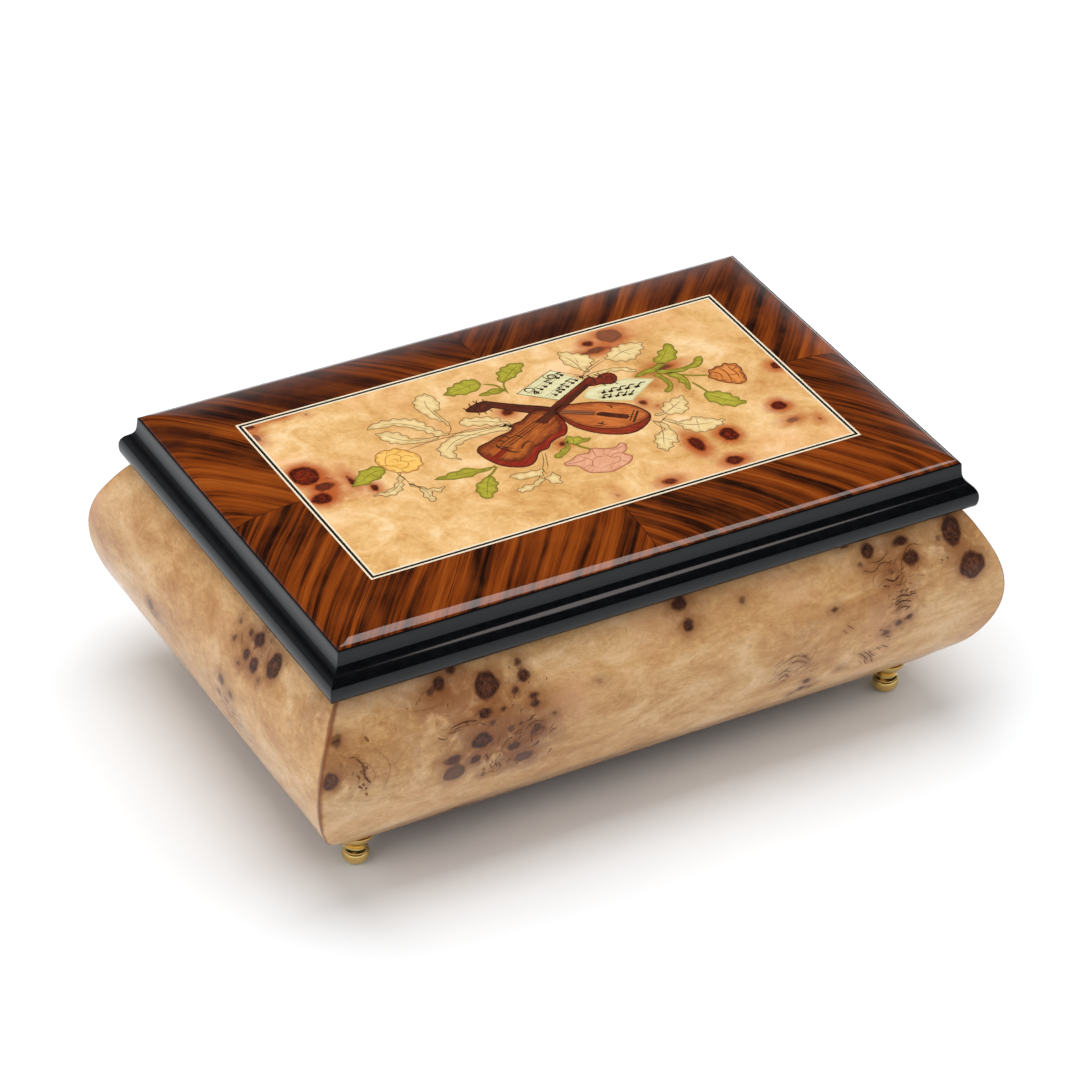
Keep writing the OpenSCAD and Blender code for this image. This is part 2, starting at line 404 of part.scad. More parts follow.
module mandolin2d() { difference() { union() { polygon(mandolin_body); polygon(mandolin_neck); } violin2d(); } }
module pages2d() { difference() { union() { polygon(page_a); polygon(page_b); } violin2d(); polygon(mandolin_body); polygon(mandolin_neck); } }
module leaves2d() { difference() { for (p = leaves) polygon(p); violin2d(); polygon(mandolin_body); polygon(page_b); } }
module flowers2d() { difference() { for (p = flowers) polygon(p); for (p = leaves) polygon(p); } }
module center_panel() {
    color([0.90, 0.72, 0.47]) veneer() difference() {
        square([2 * (hl - d4), 2 * (hw - d4)], center = true);
        violin2d(); mandolin2d(); pages2d(); leaves2d(); flowers2d();
    }
}
module violin_inlay() { color([0.55, 0.20, 0.06]) veneer() violin2d(); }
module mandolin_inlay() { color([0.62, 0.26, 0.08]) veneer() mandolin2d(); }
module sheet_music_inlay() { color([0.84, 0.80, 0.60]) veneer() pages2d(); }
module leaf_inlay() { color([0.55, 0.55, 0.16]) veneer() leaves2d(); }
module flower_inlay() { color([0.88, 0.60, 0.30]) veneer() flowers2d(); }
module lid_lining() { color([0.45, 0.03, 0.07]) translate([-in_l + 0.3, -in_w + 0.3, lid_z + 3]) cube([2 * in_l - 0.6, 2 * in_w - 0.6, 1]); }

front_wall();
back_wall();
left_wall();
right_wall();
base_board();
corner_blocks();
feet();
divider();
compartment_floor();
compartment_lining();
floor_pad();
ring_rolls();
cover_ledges();
clear_cover();
cover_screws();
case_hinge_leaves();
hinge_pins();
case_hinge_screws();
bedplate();
click_spring();
cylinder_brackets();
comb_base();
comb();
governor_frame();
stop_posts();
movement_screws();
winding_arbor();
winding_key();
spring_barrel();
great_wheel();
mainspring();
music_cylinder();
cylinder_pins();
cylinder_arbor();
drive_gear();
governor_arbor();
governor_wheel();
worm_arbor();
air_fan();
stop_lever();
stop_pin();
lid_core();
moulding_front();
moulding_back();
moulding_sides();
rosewood_front_left();
rosewood_front_right();
rosewood_back_left();
rosewood_back_right();
light_stringing();
ebony_stringing();
center_panel();
violin_inlay();
mandolin_inlay();
sheet_music_inlay();
leaf_inlay();
flower_inlay();
lid_lining();
lid_hinge_leaves();
lid_hinge_screws();
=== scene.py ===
import bpy, bmesh, math, random
import numpy as np
from mathutils import Vector, Matrix


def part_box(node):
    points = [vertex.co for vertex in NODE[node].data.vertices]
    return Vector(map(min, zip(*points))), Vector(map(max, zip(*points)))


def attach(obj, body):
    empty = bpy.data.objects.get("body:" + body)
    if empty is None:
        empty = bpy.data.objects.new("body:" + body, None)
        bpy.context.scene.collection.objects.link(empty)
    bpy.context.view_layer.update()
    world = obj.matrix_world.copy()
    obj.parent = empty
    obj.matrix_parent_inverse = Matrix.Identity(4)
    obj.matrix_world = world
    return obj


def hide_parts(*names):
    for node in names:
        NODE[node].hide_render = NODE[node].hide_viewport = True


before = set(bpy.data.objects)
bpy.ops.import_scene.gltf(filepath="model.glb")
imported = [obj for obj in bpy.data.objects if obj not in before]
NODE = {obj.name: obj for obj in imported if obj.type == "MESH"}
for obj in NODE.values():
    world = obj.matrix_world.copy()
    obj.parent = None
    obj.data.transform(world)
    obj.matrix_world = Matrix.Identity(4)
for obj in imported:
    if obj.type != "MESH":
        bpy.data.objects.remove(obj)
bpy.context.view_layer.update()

MM = 0.001

# ------------------------------------------------------------------ sizes, in millimetres, as in part.scad
HL, HW = 94.0, 59.3
PANEL_Z, EDGE_Z = 81.7, 78.4
RIM = 0.4
CROWN = [(RIM, 3.3), (1.5, 2.4), (3.5, 1.6), (6, 1.0), (10, 0.5), (15, 0.15), (19.7, 0)]
WALL = [(-5.8, 10), (-1.6, 14.5), (5.1, 22), (9.4, 31.5), (10.7, 41), (8.9, 50), (3.9, 59.5), (0, 64.8)]
MOULD = [(2.4, 65.0), (3.05, 65.2), (3.55, 65.75), (3.85, 66.6), (3.98, 67.6), (3.98, 68.6), (3.82, 69.6), (3.48, 70.5), (2.95, 71.3), (2.25, 72.0), (1.5, 72.65), (.9, 73.3), (.5, 74.1), (.3, 74.9), (.17, 75.8),
         (.1, 76.8), (.05, 77.6), (.02, 78.15), (-.12, 78.38), (-RIM, 78.4)]
IN_L, IN_W = 85.0, 50.0
HINGE_X = (-55, 55)


# ------------------------------------------------------------------ numbers and curves
def cr(a, b, c, d, t):
    return 0.5 * (2 * b + (c - a) * t + (2 * a - 5 * b + 4 * c - d) * t * t + (3 * b - a - 3 * c + d) * t ** 3)


def curve(p, n):
    p = [np.array(q, float) for q in p]
    out = []
    for i in range(len(p) - 1):
        a, b, c, d = p[max(i - 1, 0)], p[i], p[i + 1], p[min(i + 2, len(p) - 1)]
        out += [cr(a, b, c, d, j / n) for j in range(n)]
    return out + [p[-1]]


def loop(p, n):
    p = [np.array(q, float) for q in p]
    m = len(p)
    return [cr(p[i - 1], p[i], p[(i + 1) % m], p[(i + 2) % m], j / n) for i in range(m) for j in range(n)]


def seg_dist(P, a, b):
    a, b = np.array(a, float), np.array(b, float)
    ab = b - a
    t = np.clip(((P - a) @ ab) / max(ab @ ab, 1e-9), 0, 1)
    return np.linalg.norm(P - (a + t[:, None] * ab), axis=1)


def path_dist(P, pts, closed=False):
    d = np.full(len(P), 1e9)
    k = len(pts)
    for i in range(k if closed else k - 1):
        d = np.minimum(d, seg_dist(P, pts[i], pts[(i + 1) % k]))
    return d


def inside(P, poly):
    x, y = P[:, 0], P[:, 1]
    r = np.zeros(len(P), bool)
    n = len(poly)
    for i in range(n):
        x1, y1 = poly[i]
        x2, y2 = poly[(i + 1) % n]
        if y1 == y2:
            continue
        hit = ((y1 > y) != (y2 > y)) & (x < (x2 - x1) * (y - y1) / (y2 - y1) + x1)
        r ^= hit
    return r


# ------------------------------------------------------------------ meshes
def build(name, V, F, mat, body, replaces=(), smooth=True, attrs=None, sharp=None):
    me = bpy.data.meshes.new(name)
    me.from_pydata([tuple(float(c) * MM for c in v) for v in V], [], F)
    me.validate()
    if attrs:
        for k, a in attrs.items():
            me.attributes.new(k, "FLOAT", "POINT").data.foreach_set("value", np.asarray(a, np.float32))
    me.polygons.foreach_set("use_smooth", [smooth] * len(me.polygons))
    ob = bpy.data.objects.new(name, me)
    bpy.context.scene.collection.objects.link(ob)
    me.materials.append(mat)
    bm = bmesh.new(); bm.from_mesh(me)
    bmesh.ops.recalc_face_normals(bm, faces=bm.faces)
    bm.to_mesh(me); bm.free()
    if sharp is not None:
        me.set_sharp_from_angle(angle=math.radians(sharp))
    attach(ob, body)
    if replaces:
        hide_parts(*replaces)
    return ob


def lathe(prof, c, seg):
    """Closed turned solid about a vertical axis at c, from (r, z) points whose first and last are on the axis."""
    V, F = [], []
    rows = []
    for r, z in prof:
        if r < 1e-6:
            rows.append([len(V)]); V.append((c[0], c[1], z))
        else:
            rows.append([len(V) + i for i in range(seg)])
            V += [(c[0] + r * math.cos(2 * math.pi * i / seg), c[1] + r * math.sin(2 * math.pi * i / seg), z) for i in range(seg)]
    for a, b in zip(rows, rows[1:]):
        for i in range(seg):
            j = (i + 1) % seg
            if len(a) == 1 and len(b) == 1:
                continue
            if len(a) == 1:
                F.append((a[0], b[i], b[j]))
            elif len(b) == 1:
                F.append((a[i], b[0], a[j]))
            else:
                F.append((a[i], b[i], b[j], a[j]))
    return V, F


def run(prof, along, side, half, dens, ncol):
    """Mitred length: profile of (offset, z) points swept along x or y on one side; returns vertices, faces and (u, v, seam)."""
    V, F, U = [], [], []
    n = len(prof)
    ts = np.linspace(-1, 1, ncol + 1)
    for q, z in prof:
        for t in ts:
            e = (HL if along == "x" else HW) + q
            s = t * e
            o = ((HW if along == "x" else HL) + q) * side
            V.append((s, o, z) if along == "x" else (o, s, z))
            U.append((s, z, e - abs(s)))
    m = ncol + 1
    for j in range(n):
        k = (j + 1) % n
        for i in range(ncol):
            F.append((j * m + i, j * m + i + 1, k * m + i + 1, k * m + i))
    F.append([j * m for j in range(n)])
    F.append([j * m + ncol for j in range(n)][::-1])
    return V, F, np.array(U)


def apply_mods(ob):
    dg = bpy.context.evaluated_depsgraph_get()
    me = bpy.data.meshes.new_from_object(ob.evaluated_get(dg), depsgraph=dg)
    me.name = ob.data.name
    ob.modifiers.clear()
    ob.data = me


def cut_boxes(ob, boxes):
    bm = bmesh.new()
    for lo, hi in boxes:
        r = bmesh.ops.create_cube(bm, size=1)
        for v in r["verts"]:
            v.co = Vector([(lo[i] + (v.co[i] + 0.5) * (hi[i] - lo[i])) * MM for i in range(3)])
    me = bpy.data.meshes.new("tmp_cut"); bm.to_mesh(me); bm.free()
    t = bpy.data.objects.new("tmp_cut", me)
    bpy.context.scene.collection.objects.link(t)
    md = ob.modifiers.new("cut", "BOOLEAN"); md.operation = "DIFFERENCE"; md.solver = "EXACT"; md.object = t
    bpy.context.view_layer.update()
    apply_mods(ob)
    bpy.data.objects.remove(t)


def plate(name, polys, z0, z1, mat, body, replaces=(), grid=0.9, edges=None, extra=None):
    """Thin veneer plates: outlines cut to shape, gridded inside, with attribute rim = distance to the outline in mm."""
    bm = bmesh.new()
    for poly in polys:
        vs = [bm.verts.new((p[0], p[1], z1)) for p in poly]
        f = bm.faces.new(vs)
        if f.normal.z < 0:
            f.normal_flip()
    bm.normal_update()
    for f in list(bm.faces):
        if f.normal.z < 0:
            f.normal_flip()
    bmesh.ops.triangulate(bm, faces=bm.faces[:])
    xs = [v.co.x for v in bm.verts]; ys = [v.co.y for v in bm.verts]
    for ax, lo, hi in ((0, min(xs), max(xs)), (1, min(ys), max(ys))):
        k = math.ceil(lo / grid)
        while k * grid < hi:
            no = (1, 0, 0) if ax == 0 else (0, 1, 0)
            co = (k * grid, 0, 0) if ax == 0 else (0, k * grid, 0)
            bmesh.ops.bisect_plane(bm, geom=bm.verts[:] + bm.edges[:] + bm.faces[:], dist=1e-5, plane_co=co, plane_no=no)
            k += 1
    bmesh.ops.remove_doubles(bm, verts=bm.verts[:], dist=1e-4)
    r = bmesh.ops.extrude_face_region(bm, geom=bm.faces[:])
    for v in [e for e in r["geom"] if isinstance(e, bmesh.types.BMVert)]:
        v.co.z = z0
    V = [tuple(v.co) for v in bm.verts]
    bm.verts.index_update()
    F = [[v.index for v in f.verts] for f in bm.faces]
    bm.free()
    P = np.array([(v[0], v[1]) for v in V])
    d = np.full(len(P), 1e9)
    for poly in (edges or polys):
        d = np.minimum(d, path_dist(P, poly, True))
    at = {"rim": d}
    if extra:
        at.update(extra(P))
    return build(name, V, F, mat, body, replaces, smooth=False, attrs=at)


def ribbons(name, lines, z0, z1, mat, body, replaces=()):
    """Inked or cut lines: each (points, width, taper) becomes a thin closed strip following a smooth curve."""
    V, F = [], []
    for pts, w, taper in lines:
        p = curve(pts, 5) if len(pts) > 2 else [np.array(pts[0], float), (np.array(pts[0], float) + np.array(pts[1], float)) / 2, np.array(pts[1], float)]
        p = np.array(p); n = len(p)
        g = np.gradient(p, axis=0)
        g /= np.maximum(np.linalg.norm(g, axis=1), 1e-9)[:, None]
        nr = np.stack([-g[:, 1], g[:, 0]], 1)
        b = len(V)
        for i in range(n):
            s = i / (n - 1)
            ww = w / 2 * (1 if not taper else max(0.25, min(1, 4 * s, 4 * (1 - s))) if taper == 1 else max(0.2, 1 - s))
            l, r = p[i] + nr[i] * ww, p[i] - nr[i] * ww
            V += [(l[0], l[1], z1), (r[0], r[1], z1), (r[0], r[1], z0), (l[0], l[1], z0)]
        for i in range(n - 1):
            a, c = b + 4 * i, b + 4 * i + 4
            for k in range(4):
                F.append((a + k, a + (k + 1) % 4, c + (k + 1) % 4, c + k))
        F += [(b, b + 3, b + 2, b + 1), tuple(b + 4 * (n - 1) + k for k in range(4))]
    return build(name, V, F, mat, body, replaces, smooth=False)


# ------------------------------------------------------------------ materials
class Mat:
    def __init__(s, name):
        s.m = bpy.data.materials.new(name)
        s.m.use_nodes = True
        s.t = s.m.node_tree
        s.t.nodes.clear()
        s.out = s.t.nodes.new("ShaderNodeOutputMaterial")
        s.b = s.t.nodes.new("ShaderNodeBsdfPrincipled")
        s.t.links.new(s.b.outputs[0], s.out.inputs[0])
        s._p = None

    def put(s, sock, v):
        if isinstance(v, bpy.types.NodeSocket):
            s.t.links.new(v, sock)
        elif v is not None:
            if sock.type == "RGBA" and len(v) == 3:
                v = (*v, 1)
            sock.default_value = v

    def n(s, kind, ins=(), out=0, **pr):
        nd = s.t.nodes.new(kind)
        for k, v in pr.items():
            setattr(nd, k, v)
        for k, v in (ins.items() if isinstance(ins, dict) else enumerate(ins)):
            if v is not None:
                s.put(nd.inputs[k], v)
        return nd.outputs[out]

    def pos(s):
        """Place in the part's own frame, in millimetres."""
        if s._p is None:
            tc = s.t.nodes.new("ShaderNodeTexCoord")
            s._p = s.n("ShaderNodeVectorMath", {0: tc.outputs["Object"], 3: 1000.0}, operation="SCALE")
        return s._p

    def vm(s, op, *a):
        return s.n("ShaderNodeVectorMath", a, operation=op)

    def stretch(s, v, rot=(0, 0, 0), scale=(1, 1, 1), loc=(0, 0, 0)):
        return s.n("ShaderNodeMapping", {"Vector": v, "Location": loc, "Rotation": rot, "Scale": scale}, vector_type="POINT")

    def ma(s, op, *a, clamp=False):
        return s.n("ShaderNodeMath", a, operation=op, use_clamp=clamp)

    def noise(s, v, scale, detail=3.0, rough=0.5, dist=0.0, col=False, lac=2.0):
        return s.n("ShaderNodeTexNoise", {"Vector": v, "Scale": scale, "Detail": detail, "Roughness": rough, "Distortion": dist, "Lacunarity": lac}, out=1 if col else 0)

    def vor(s, v, scale, feature="F1", out=0, rnd=1.0):
        return s.n("ShaderNodeTexVoronoi", {"Vector": v, "Scale": scale, "Randomness": rnd}, out=out, feature=feature)

    def attr(s, name):
        return s.n("ShaderNodeAttribute", out=2, attribute_name=name)

    def step(s, v, a, b, lo=0.0, hi=1.0, smooth=True):
        return s.n("ShaderNodeMapRange", {0: v, 1: a, 2: b, 3: lo, 4: hi}, interpolation_type="SMOOTHSTEP" if smooth else "LINEAR", clamp=True)

    def ramp(s, f, stops, interp="LINEAR"):
        nd = s.t.nodes.new("ShaderNodeValToRGB")
        nd.color_ramp.interpolation = interp
        e = nd.color_ramp.elements
        while len(e) < len(stops):
            e.new(0.5)
        for k, (p, c) in enumerate(stops):
            e[k].position = p
            e[k].color = (*lin(c), 1)
        s.t.links.new(f, nd.inputs[0])
        return nd.outputs[0]

    def mix(s, f, a, b, mode="MIX"):
        nd = s.t.nodes.new("ShaderNodeMix")
        nd.data_type = "RGBA"
        nd.blend_type = mode
        s.put(nd.inputs[0], f)
        s.put(nd.inputs[6], a)
        s.put(nd.inputs[7], b)
        return nd.outputs[2]

    def bump(s, h, strength, dist, normal=None):
        return s.n("ShaderNodeBump", {"Strength": strength, "Distance": dist, "Height": h, "Normal": normal})

    def shade(s, color=None, rough=None, normal=None, **k):
        s.put(s.b.inputs["Base Color"], color)
        s.put(s.b.inputs["Roughness"], rough)
        s.put(s.b.inputs["Normal"], normal)
        for a, v in k.items():
            s.put(s.b.inputs[a.replace("_", " ")], v)
        return s.m


def lin(c):
    """8-bit colour to scene colour."""
    return tuple((x / 255 / 12.92) if x / 255 <= 0.04045 else ((x / 255 + 0.055) / 1.055) ** 2.4 for x in c)


S = "small"
# knots on the front wall: x, z, half width, half height, how dark
FRONT_KNOTS = [(-53.5, 57.5, 3.4, 3.1, 1), (-66.5, 61, 1.7, 1.4, .9), (-69.5, 60, .8, .7, .7), (-43.5, 60.5, .9, .7, .8), (-43, 57, 1.6, 1.4, .9), (-46, 54.5, .9, .7, .8),
    (-41, 52, 1.3, .9, .9), (-41, 50, 1.4, .9, .9), (-55.5, 51.5, 1.6, 1.2, .95), (-54, 48.5, .9, .7, .8), (-50, 51, .7, .5, .8), (-57.5, 44.5, 2.9, 2.2, .95),
    (-66, 41.5, 2.5, 1.4, .75), (-65.5, 37, 2.9, 2.5, .6), (-59.5, 39.5, 1.4, 1.2, .8), (-48, 40, 1.8, 1.3, .75), (-45, 35, 3, 1.8, .62), (-48.5, 45.5, .9, .6, .8),
    (-45.5, 46, .9, .6, .8), (-41, 43.5, 1.6, 1.2, .7), (-42.5, 42, .8, .6, .6), (-39.5, 42.5, .7, .6, .6), (-97.5, 56, 1.3, .8, .85), (-97.5, 54, .8, .5, .7), (-101, 46.5, 2.2, 2.2, .75),
    (5.5, 62, 2.2, 1.3, .95), (6.5, 57, 1.6, 1.3, .9), (23.5, 59, .8, .7, .5), (50.5, 50, .9, .5, .8), (63.5, 61, 1.9, 1.6, .95), (73.5, 61, 2.1, 1.1, .9),
    (76, 56.5, 2.3, 1.8, 1), (69, 55, .9, .6, .8), (90, 59.8, 2.6, 3.6, .95), (94.5, 50.3, 4, 3.4, .92), (66.5, 38, 1.3, 1, .6), (70.5, 40, 1, .8, .7), (73.5, 41, .9, .7, .8),
    (43.5, 28, 1.1, .9, .8), (43, 24.5, 1.1, .9, .8), (40.5, 23, .8, .7, .75), (46, 24, .7, .6, .7), (54, 29, .8, .6, .6), (-36, 46, .5, .35, .7), (-21.5, 50.5, .6, .3, .6),
    (57, 64, 1.2, .7, .8), (60.5, 58.5, .7, .5, .7), (-56.5, 33, .7, .6, .6), (-62, 63, 1.0, .6, .8), (85.5, 59, .7, .6, .7)]
FRONT_LINES = [([(-66, 50.3), (-62, 50.9), (-58, 50.2)], .35, .85), ([(-67, 49.2), (-63, 49.4)], .25, .6), ([(-93, 50.3), (-91.5, 48), (-91.3, 45), (-90, 43)], .6, .75), ([(-95, 51), (-93, 50.6)], .35, .7),
    ([(-56.5, 40.3), (-55.5, 38)], .5, .75), ([(-55, 36.2), (-54, 34)], .3, .8), ([(-53.6, 36.4), (-52.6, 34.4)], .3, .8), ([(-52.2, 36), (-51.5, 33.6)], .3, .75), ([(-54.5, 33.2), (-53, 32.6)], .3, .6),
    ([(-44, 44.8), (-41.5, 45.4), (-39, 44.4)], .3, .8), ([(-43.4, 42.4), (-41, 43.4), (-38.5, 42.2)], .3, .8), ([(-42.6, 41), (-40.4, 41.4)], .3, .7), ([(-48, 43.6), (-45.5, 44.4)], .35, .8), ([(-53, 42.6), (-52, 44.5)], .35, .7),
    ([(67, 53.6), (69.6, 52.4), (71.5, 53.4)], .5, .85), ([(66, 52), (68, 51.4)], .35, .8), ([(70, 51.2), (72, 51)], .3, .7), ([(61, 57), (64, 56), (67, 57.4), (70, 56.6)], .25, .8), ([(63, 58.4), (66.5, 58), (69.5, 59.4)], .25, .75),
    ([(72, 53), (73.5, 57), (76.5, 59.6), (80, 58.6)], .25, .75), ([(71, 50.6), (73, 53.2)], .3, .7),
    ([(69.4, 47.4), (71.5, 48.2), (74, 47.2)], .4, .9), ([(69.2, 45.8), (71.5, 46.5), (74.5, 45.6)], .45, .9), ([(69.6, 44.2), (72, 44.8), (74, 44)], .4, .85), ([(70.5, 49.4), (72.5, 49.4)], .3, .7),
    ([(65.5, 39.2), (67, 37.6)], .4, .7), ([(66.5, 36.6), (68.5, 36)], .35, .6), ([(72, 40.5), (74.5, 41.5)], .45, .85),
    ([(59, 33), (61.5, 30.4), (63.4, 27.6)], .28, .8), ([(60.4, 33.2), (63, 30.5), (64.8, 27.2)], .28, .8), ([(61.8, 33), (64.2, 30.2)], .25, .7), ([(66, 33.6), (68.5, 31.8)], .25, .6), ([(53.8, 44.6), (56, 42.6)], .25, .6), ([(52.5, 43.4), (54, 42)], .25, .5),
    ([(34, 38.4), (37, 39.8), (40.5, 38.8), (42.8, 36.4)], .25, .7), ([(36.5, 37.8), (39.5, 37.6), (42, 35.4)], .25, .7), ([(39.5, 39.8), (41.8, 38.4)], .25, .6), ([(31.6, 38.6), (34.2, 40.2)], .22, .5),
    ([(33, 34.6), (35, 35.6), (36.8, 34.6)], .3, .7), ([(33.4, 33), (35.4, 34), (36.4, 32.6)], .35, .75), ([(34.4, 31.4), (36, 31.8)], .3, .6),
    ([(-75, 56.8), (-70, 56.3), (-66, 57)], .16, .45), ([(-67, 11.2), (-61, 12.0), (-55, 12.4), (-49, 12.0)], .55, .95), ([(-63, 13.2), (-57, 13.8), (-52, 13.4)], .3, .7), ([(-44, 12.6), (-40, 13.2), (-37, 12.8)], .3, .6), ([(-12, 12.4), (-8, 13.2)], .45, .9),
    ([(-93, 41), (-88.5, 43.6), (-90, 48), (-94, 49.4)], .14, .3), ([(-86, 40), (-84, 46), (-88, 52)], .14, .25)]
LEFT_KNOTS = [(23, 59.5, 2.3, 1.8, .95), (33, 58, 2.8, 3, .9), (25.5, 54.2, 1.9, 1.7, .9), (21, 54.5, 1.2, 1.3, .85), (18.5, 59, 1.1, .9, .8), (12.5, 59, .7, .6, .7), (13.5, 55, .7, .7, .7), (19.5, 51.3, .7, .6, .7),
    (13.5, 42.5, 1.6, 1.4, .5), (19, 41.5, .9, .7, .5), (12, 37.5, .8, .7, .5), (16.5, 38, .9, .6, .5), (-30, 38.5, 1.6, 1.3, .5), (-26.5, 37.5, .7, .6, .5), (29.5, 52.5, .7, .5, .7), (27.5, 61.5, .7, .5, .6)]
LEFT_LINES = [([(14, 36), (18, 34.4), (24, 34)], .3, .45), ([(12, 33.6), (17, 32.6), (22, 31)], .25, .4), ([(15.6, 57), (17.4, 55.2)], .35, .6), ([(28.4, 60), (30, 56.5)], .3, .5), ([(-33, 36.6), (-28, 35.6)], .25, .4)]
FRONT_WARM = [(-55, 47, 17, 13, .85), (-66, 58, 14, 6, .8), (-98, 49, 9, 9, .7), (7, 59, 8, 6, .5), (70, 56, 12, 8, .75), (71, 44, 8, 9, .5), (92, 54, 9, 9, .75), (38, 34, 8, 6, .3), (45, 26, 7, 4, .35), (60, 31, 8, 5, .3), (-47, 37, 9, 6, .7), (-45, 43, 12, 9, .6), (-57, 13, 12, 3, .5), (-84, 47, 12, 10, .3)]
LEFT_WARM = [(24, 57, 13, 8, .8), (16, 40, 10, 7, .35), (-29, 38, 8, 4, .3), (55, 57, 9, 8, .5)]
FRONT_COOL = [(-45, 34, 7, 4, .9), (-65, 38, 6, 4, .7), (-40, 42, 6, 4, .6), (38, 35, 8, 5, .5), (42, 46, 7, 4, .35), (-62, 48, 9, 3, .4), (-10, 18, 11, 3, .45), (-95, 36, 8, 4, .3)]
LEFT_COOL = [(20, 34, 12, 4, .8), (14, 42, 5, 3, .5), (-29, 37, 6, 3, .6)]
PANEL_KNOTS = [(-68.5, 10, 4.0, 4.3, .95), (-66, 3.2, 2.6, 1.6, .8), (-69, -1.5, 2.7, 2.4, .95), (-58.3, 2.5, .9, 2.2, .9), (-54.3, -3.2, .8, 1.2, .9), (-62, 38.8, 2.6, .9, .9), (-71.6, 37, 1.6, .9, .8), (-72, 32, 1, 1.8, .6),
    (-5.6, 12.7, 1.7, 1.5, .85), (0, -7.2, 1, 1, .85), (38, 33.6, 3.6, 3.2, .62), (30.5, 32.5, 1.3, 1.2, .85), (31, 28.7, 3.6, 1.3, .7), (43, 13, 2.6, .9, .7), (29.5, .3, .9, 1, .8), (32, -3, .5, .4, .7),
    (62, -17.5, 2.2, 2.0, 1), (42.5, -23.2, 2.5, 2.9, 1), (32.4, -23.6, 1.7, 3.5, .95), (62, -25.2, 2, 1, .55), (68.5, -27.8, .6, .8, .8), (37.5, -34.8, 2.5, 1.9, .9), (17, -35.5, 2, 1.2, .8), (72, 0, 1.7, 1.5, .9), (1.2, -35, .3, .6, .5), (-54.8, 36, .3, .3, .4)]
PANEL_WARM = [(-67, 9, 5.5, 6, 1), (-66, 0, 6, 6, .95), (38, 33, 6.5, 6, .8), (31, 29, 6, 3.5, .8), (43, 13, 5, 3, .7), (32, -24, 4.2, 4.6, .9), (62, -25, 4.5, 3, .55), (38, -35, 5, 3, .6), (62, -17.5, 4, 3.6, .5), (-5.5, 12.7, 3, 2.6, .5),
    (17, -36, 4, 2.4, .7), (72, 0, 3, 3.4, .7), (-71, 34, 3, 5, .7), (-62, 39, 5, 2, .6), (37, 6, 5, 4, .35), (65, -8, 7, 3, .3), (42.5, -23.2, 3.6, 3.8, .35), (60, 2, 6, 5, .2)]


def ellipses(P, ks):
    best, dark = np.full(len(P), 8.0), np.zeros(len(P))
    for x, y, a, b, k in ks:
        e = np.sqrt(((P[:, 0] - x) / a) ** 2 + ((P[:, 1] - y) / b) ** 2)
        d = (e - 1) * min(a, b)
        h = d < best
        best[h], dark[h] = d[h], k
    return best, dark


def burl_fields(P, knots, lines, warm, cool=()):
    best, dark = ellipses(P, knots)
    td, tk = np.full(len(P), 9.0), np.zeros(len(P))
    for pts, w, k in lines:
        c = curve(pts, 4) if len(pts) > 2 else [np.array(q, float) for q in pts]
        for p, q in zip(c, c[1:]):
            p, q = np.asarray(p, float), np.asarray(q, float)
            d = seg_dist(P, p, q)
            h = d < td
            td[h], tk[h] = d[h], k
    ws = np.zeros(len(P))
    for x, y, a, b, k in warm:
        ws = 1 - (1 - ws) * (1 - k * np.exp(-(((P[:, 0] - x) / a) ** 2 + ((P[:, 1] - y) / b) ** 2)))
    cs = np.zeros(len(P))
    for x, y, a, b, k in cool:
        cs = 1 - (1 - cs) * (1 - k * np.exp(-(((P[:, 0] - x) / a) ** 2 + ((P[:, 1] - y) / b) ** 2)))
    return {"knot": np.clip(best, -4, 8), "dark": dark, "warm": ws, "cool": cs, "tick": np.clip(td, 0, 9), "tdark": tk}


def wild(seed, x0, x1, y0, y1, groups):
    """Seeded clusters of burl eyes for the walls that the picture doesn't show."""
    r = random.Random(seed)
    ks, ls, ws, cs = [], [], [], []
    for g in range(groups):
        cx, cy = r.uniform(x0, x1), r.uniform(y0, y1)
        ws.append((cx, cy, r.uniform(7, 15), r.uniform(5, 10), r.uniform(.4, .85)))
        if r.random() < .5:
            cs.append((cx + r.uniform(-6, 6), cy - r.uniform(2, 8), r.uniform(4, 8), r.uniform(3, 5), r.uniform(.3, .8)))
        for k in range(r.randint(5, 15)):
            big = r.random() < .25
            a = r.uniform(1.6, 3.4) if big else r.uniform(.5, 1.4)
            ks.append((cx + r.gauss(0, 7.5), cy + r.gauss(0, 5.5), a, a * r.uniform(.65, 1.05), r.uniform(.6, 1)))
        for k in range(r.randint(3, 8)):
            x, y, t = cx + r.gauss(0, 9), cy + r.gauss(0, 6), r.uniform(-.9, .9)
            l = r.uniform(1.5, 4.5)
            ls.append(([(x, y), (x + l / 2 * math.cos(t), y + l / 2 * math.sin(t) + r.uniform(-.6, .6)), (x + l * math.cos(t), y + l * math.sin(t))], r.uniform(.2, .4), r.uniform(.4, .85)))
    return ks, ls, ws, cs


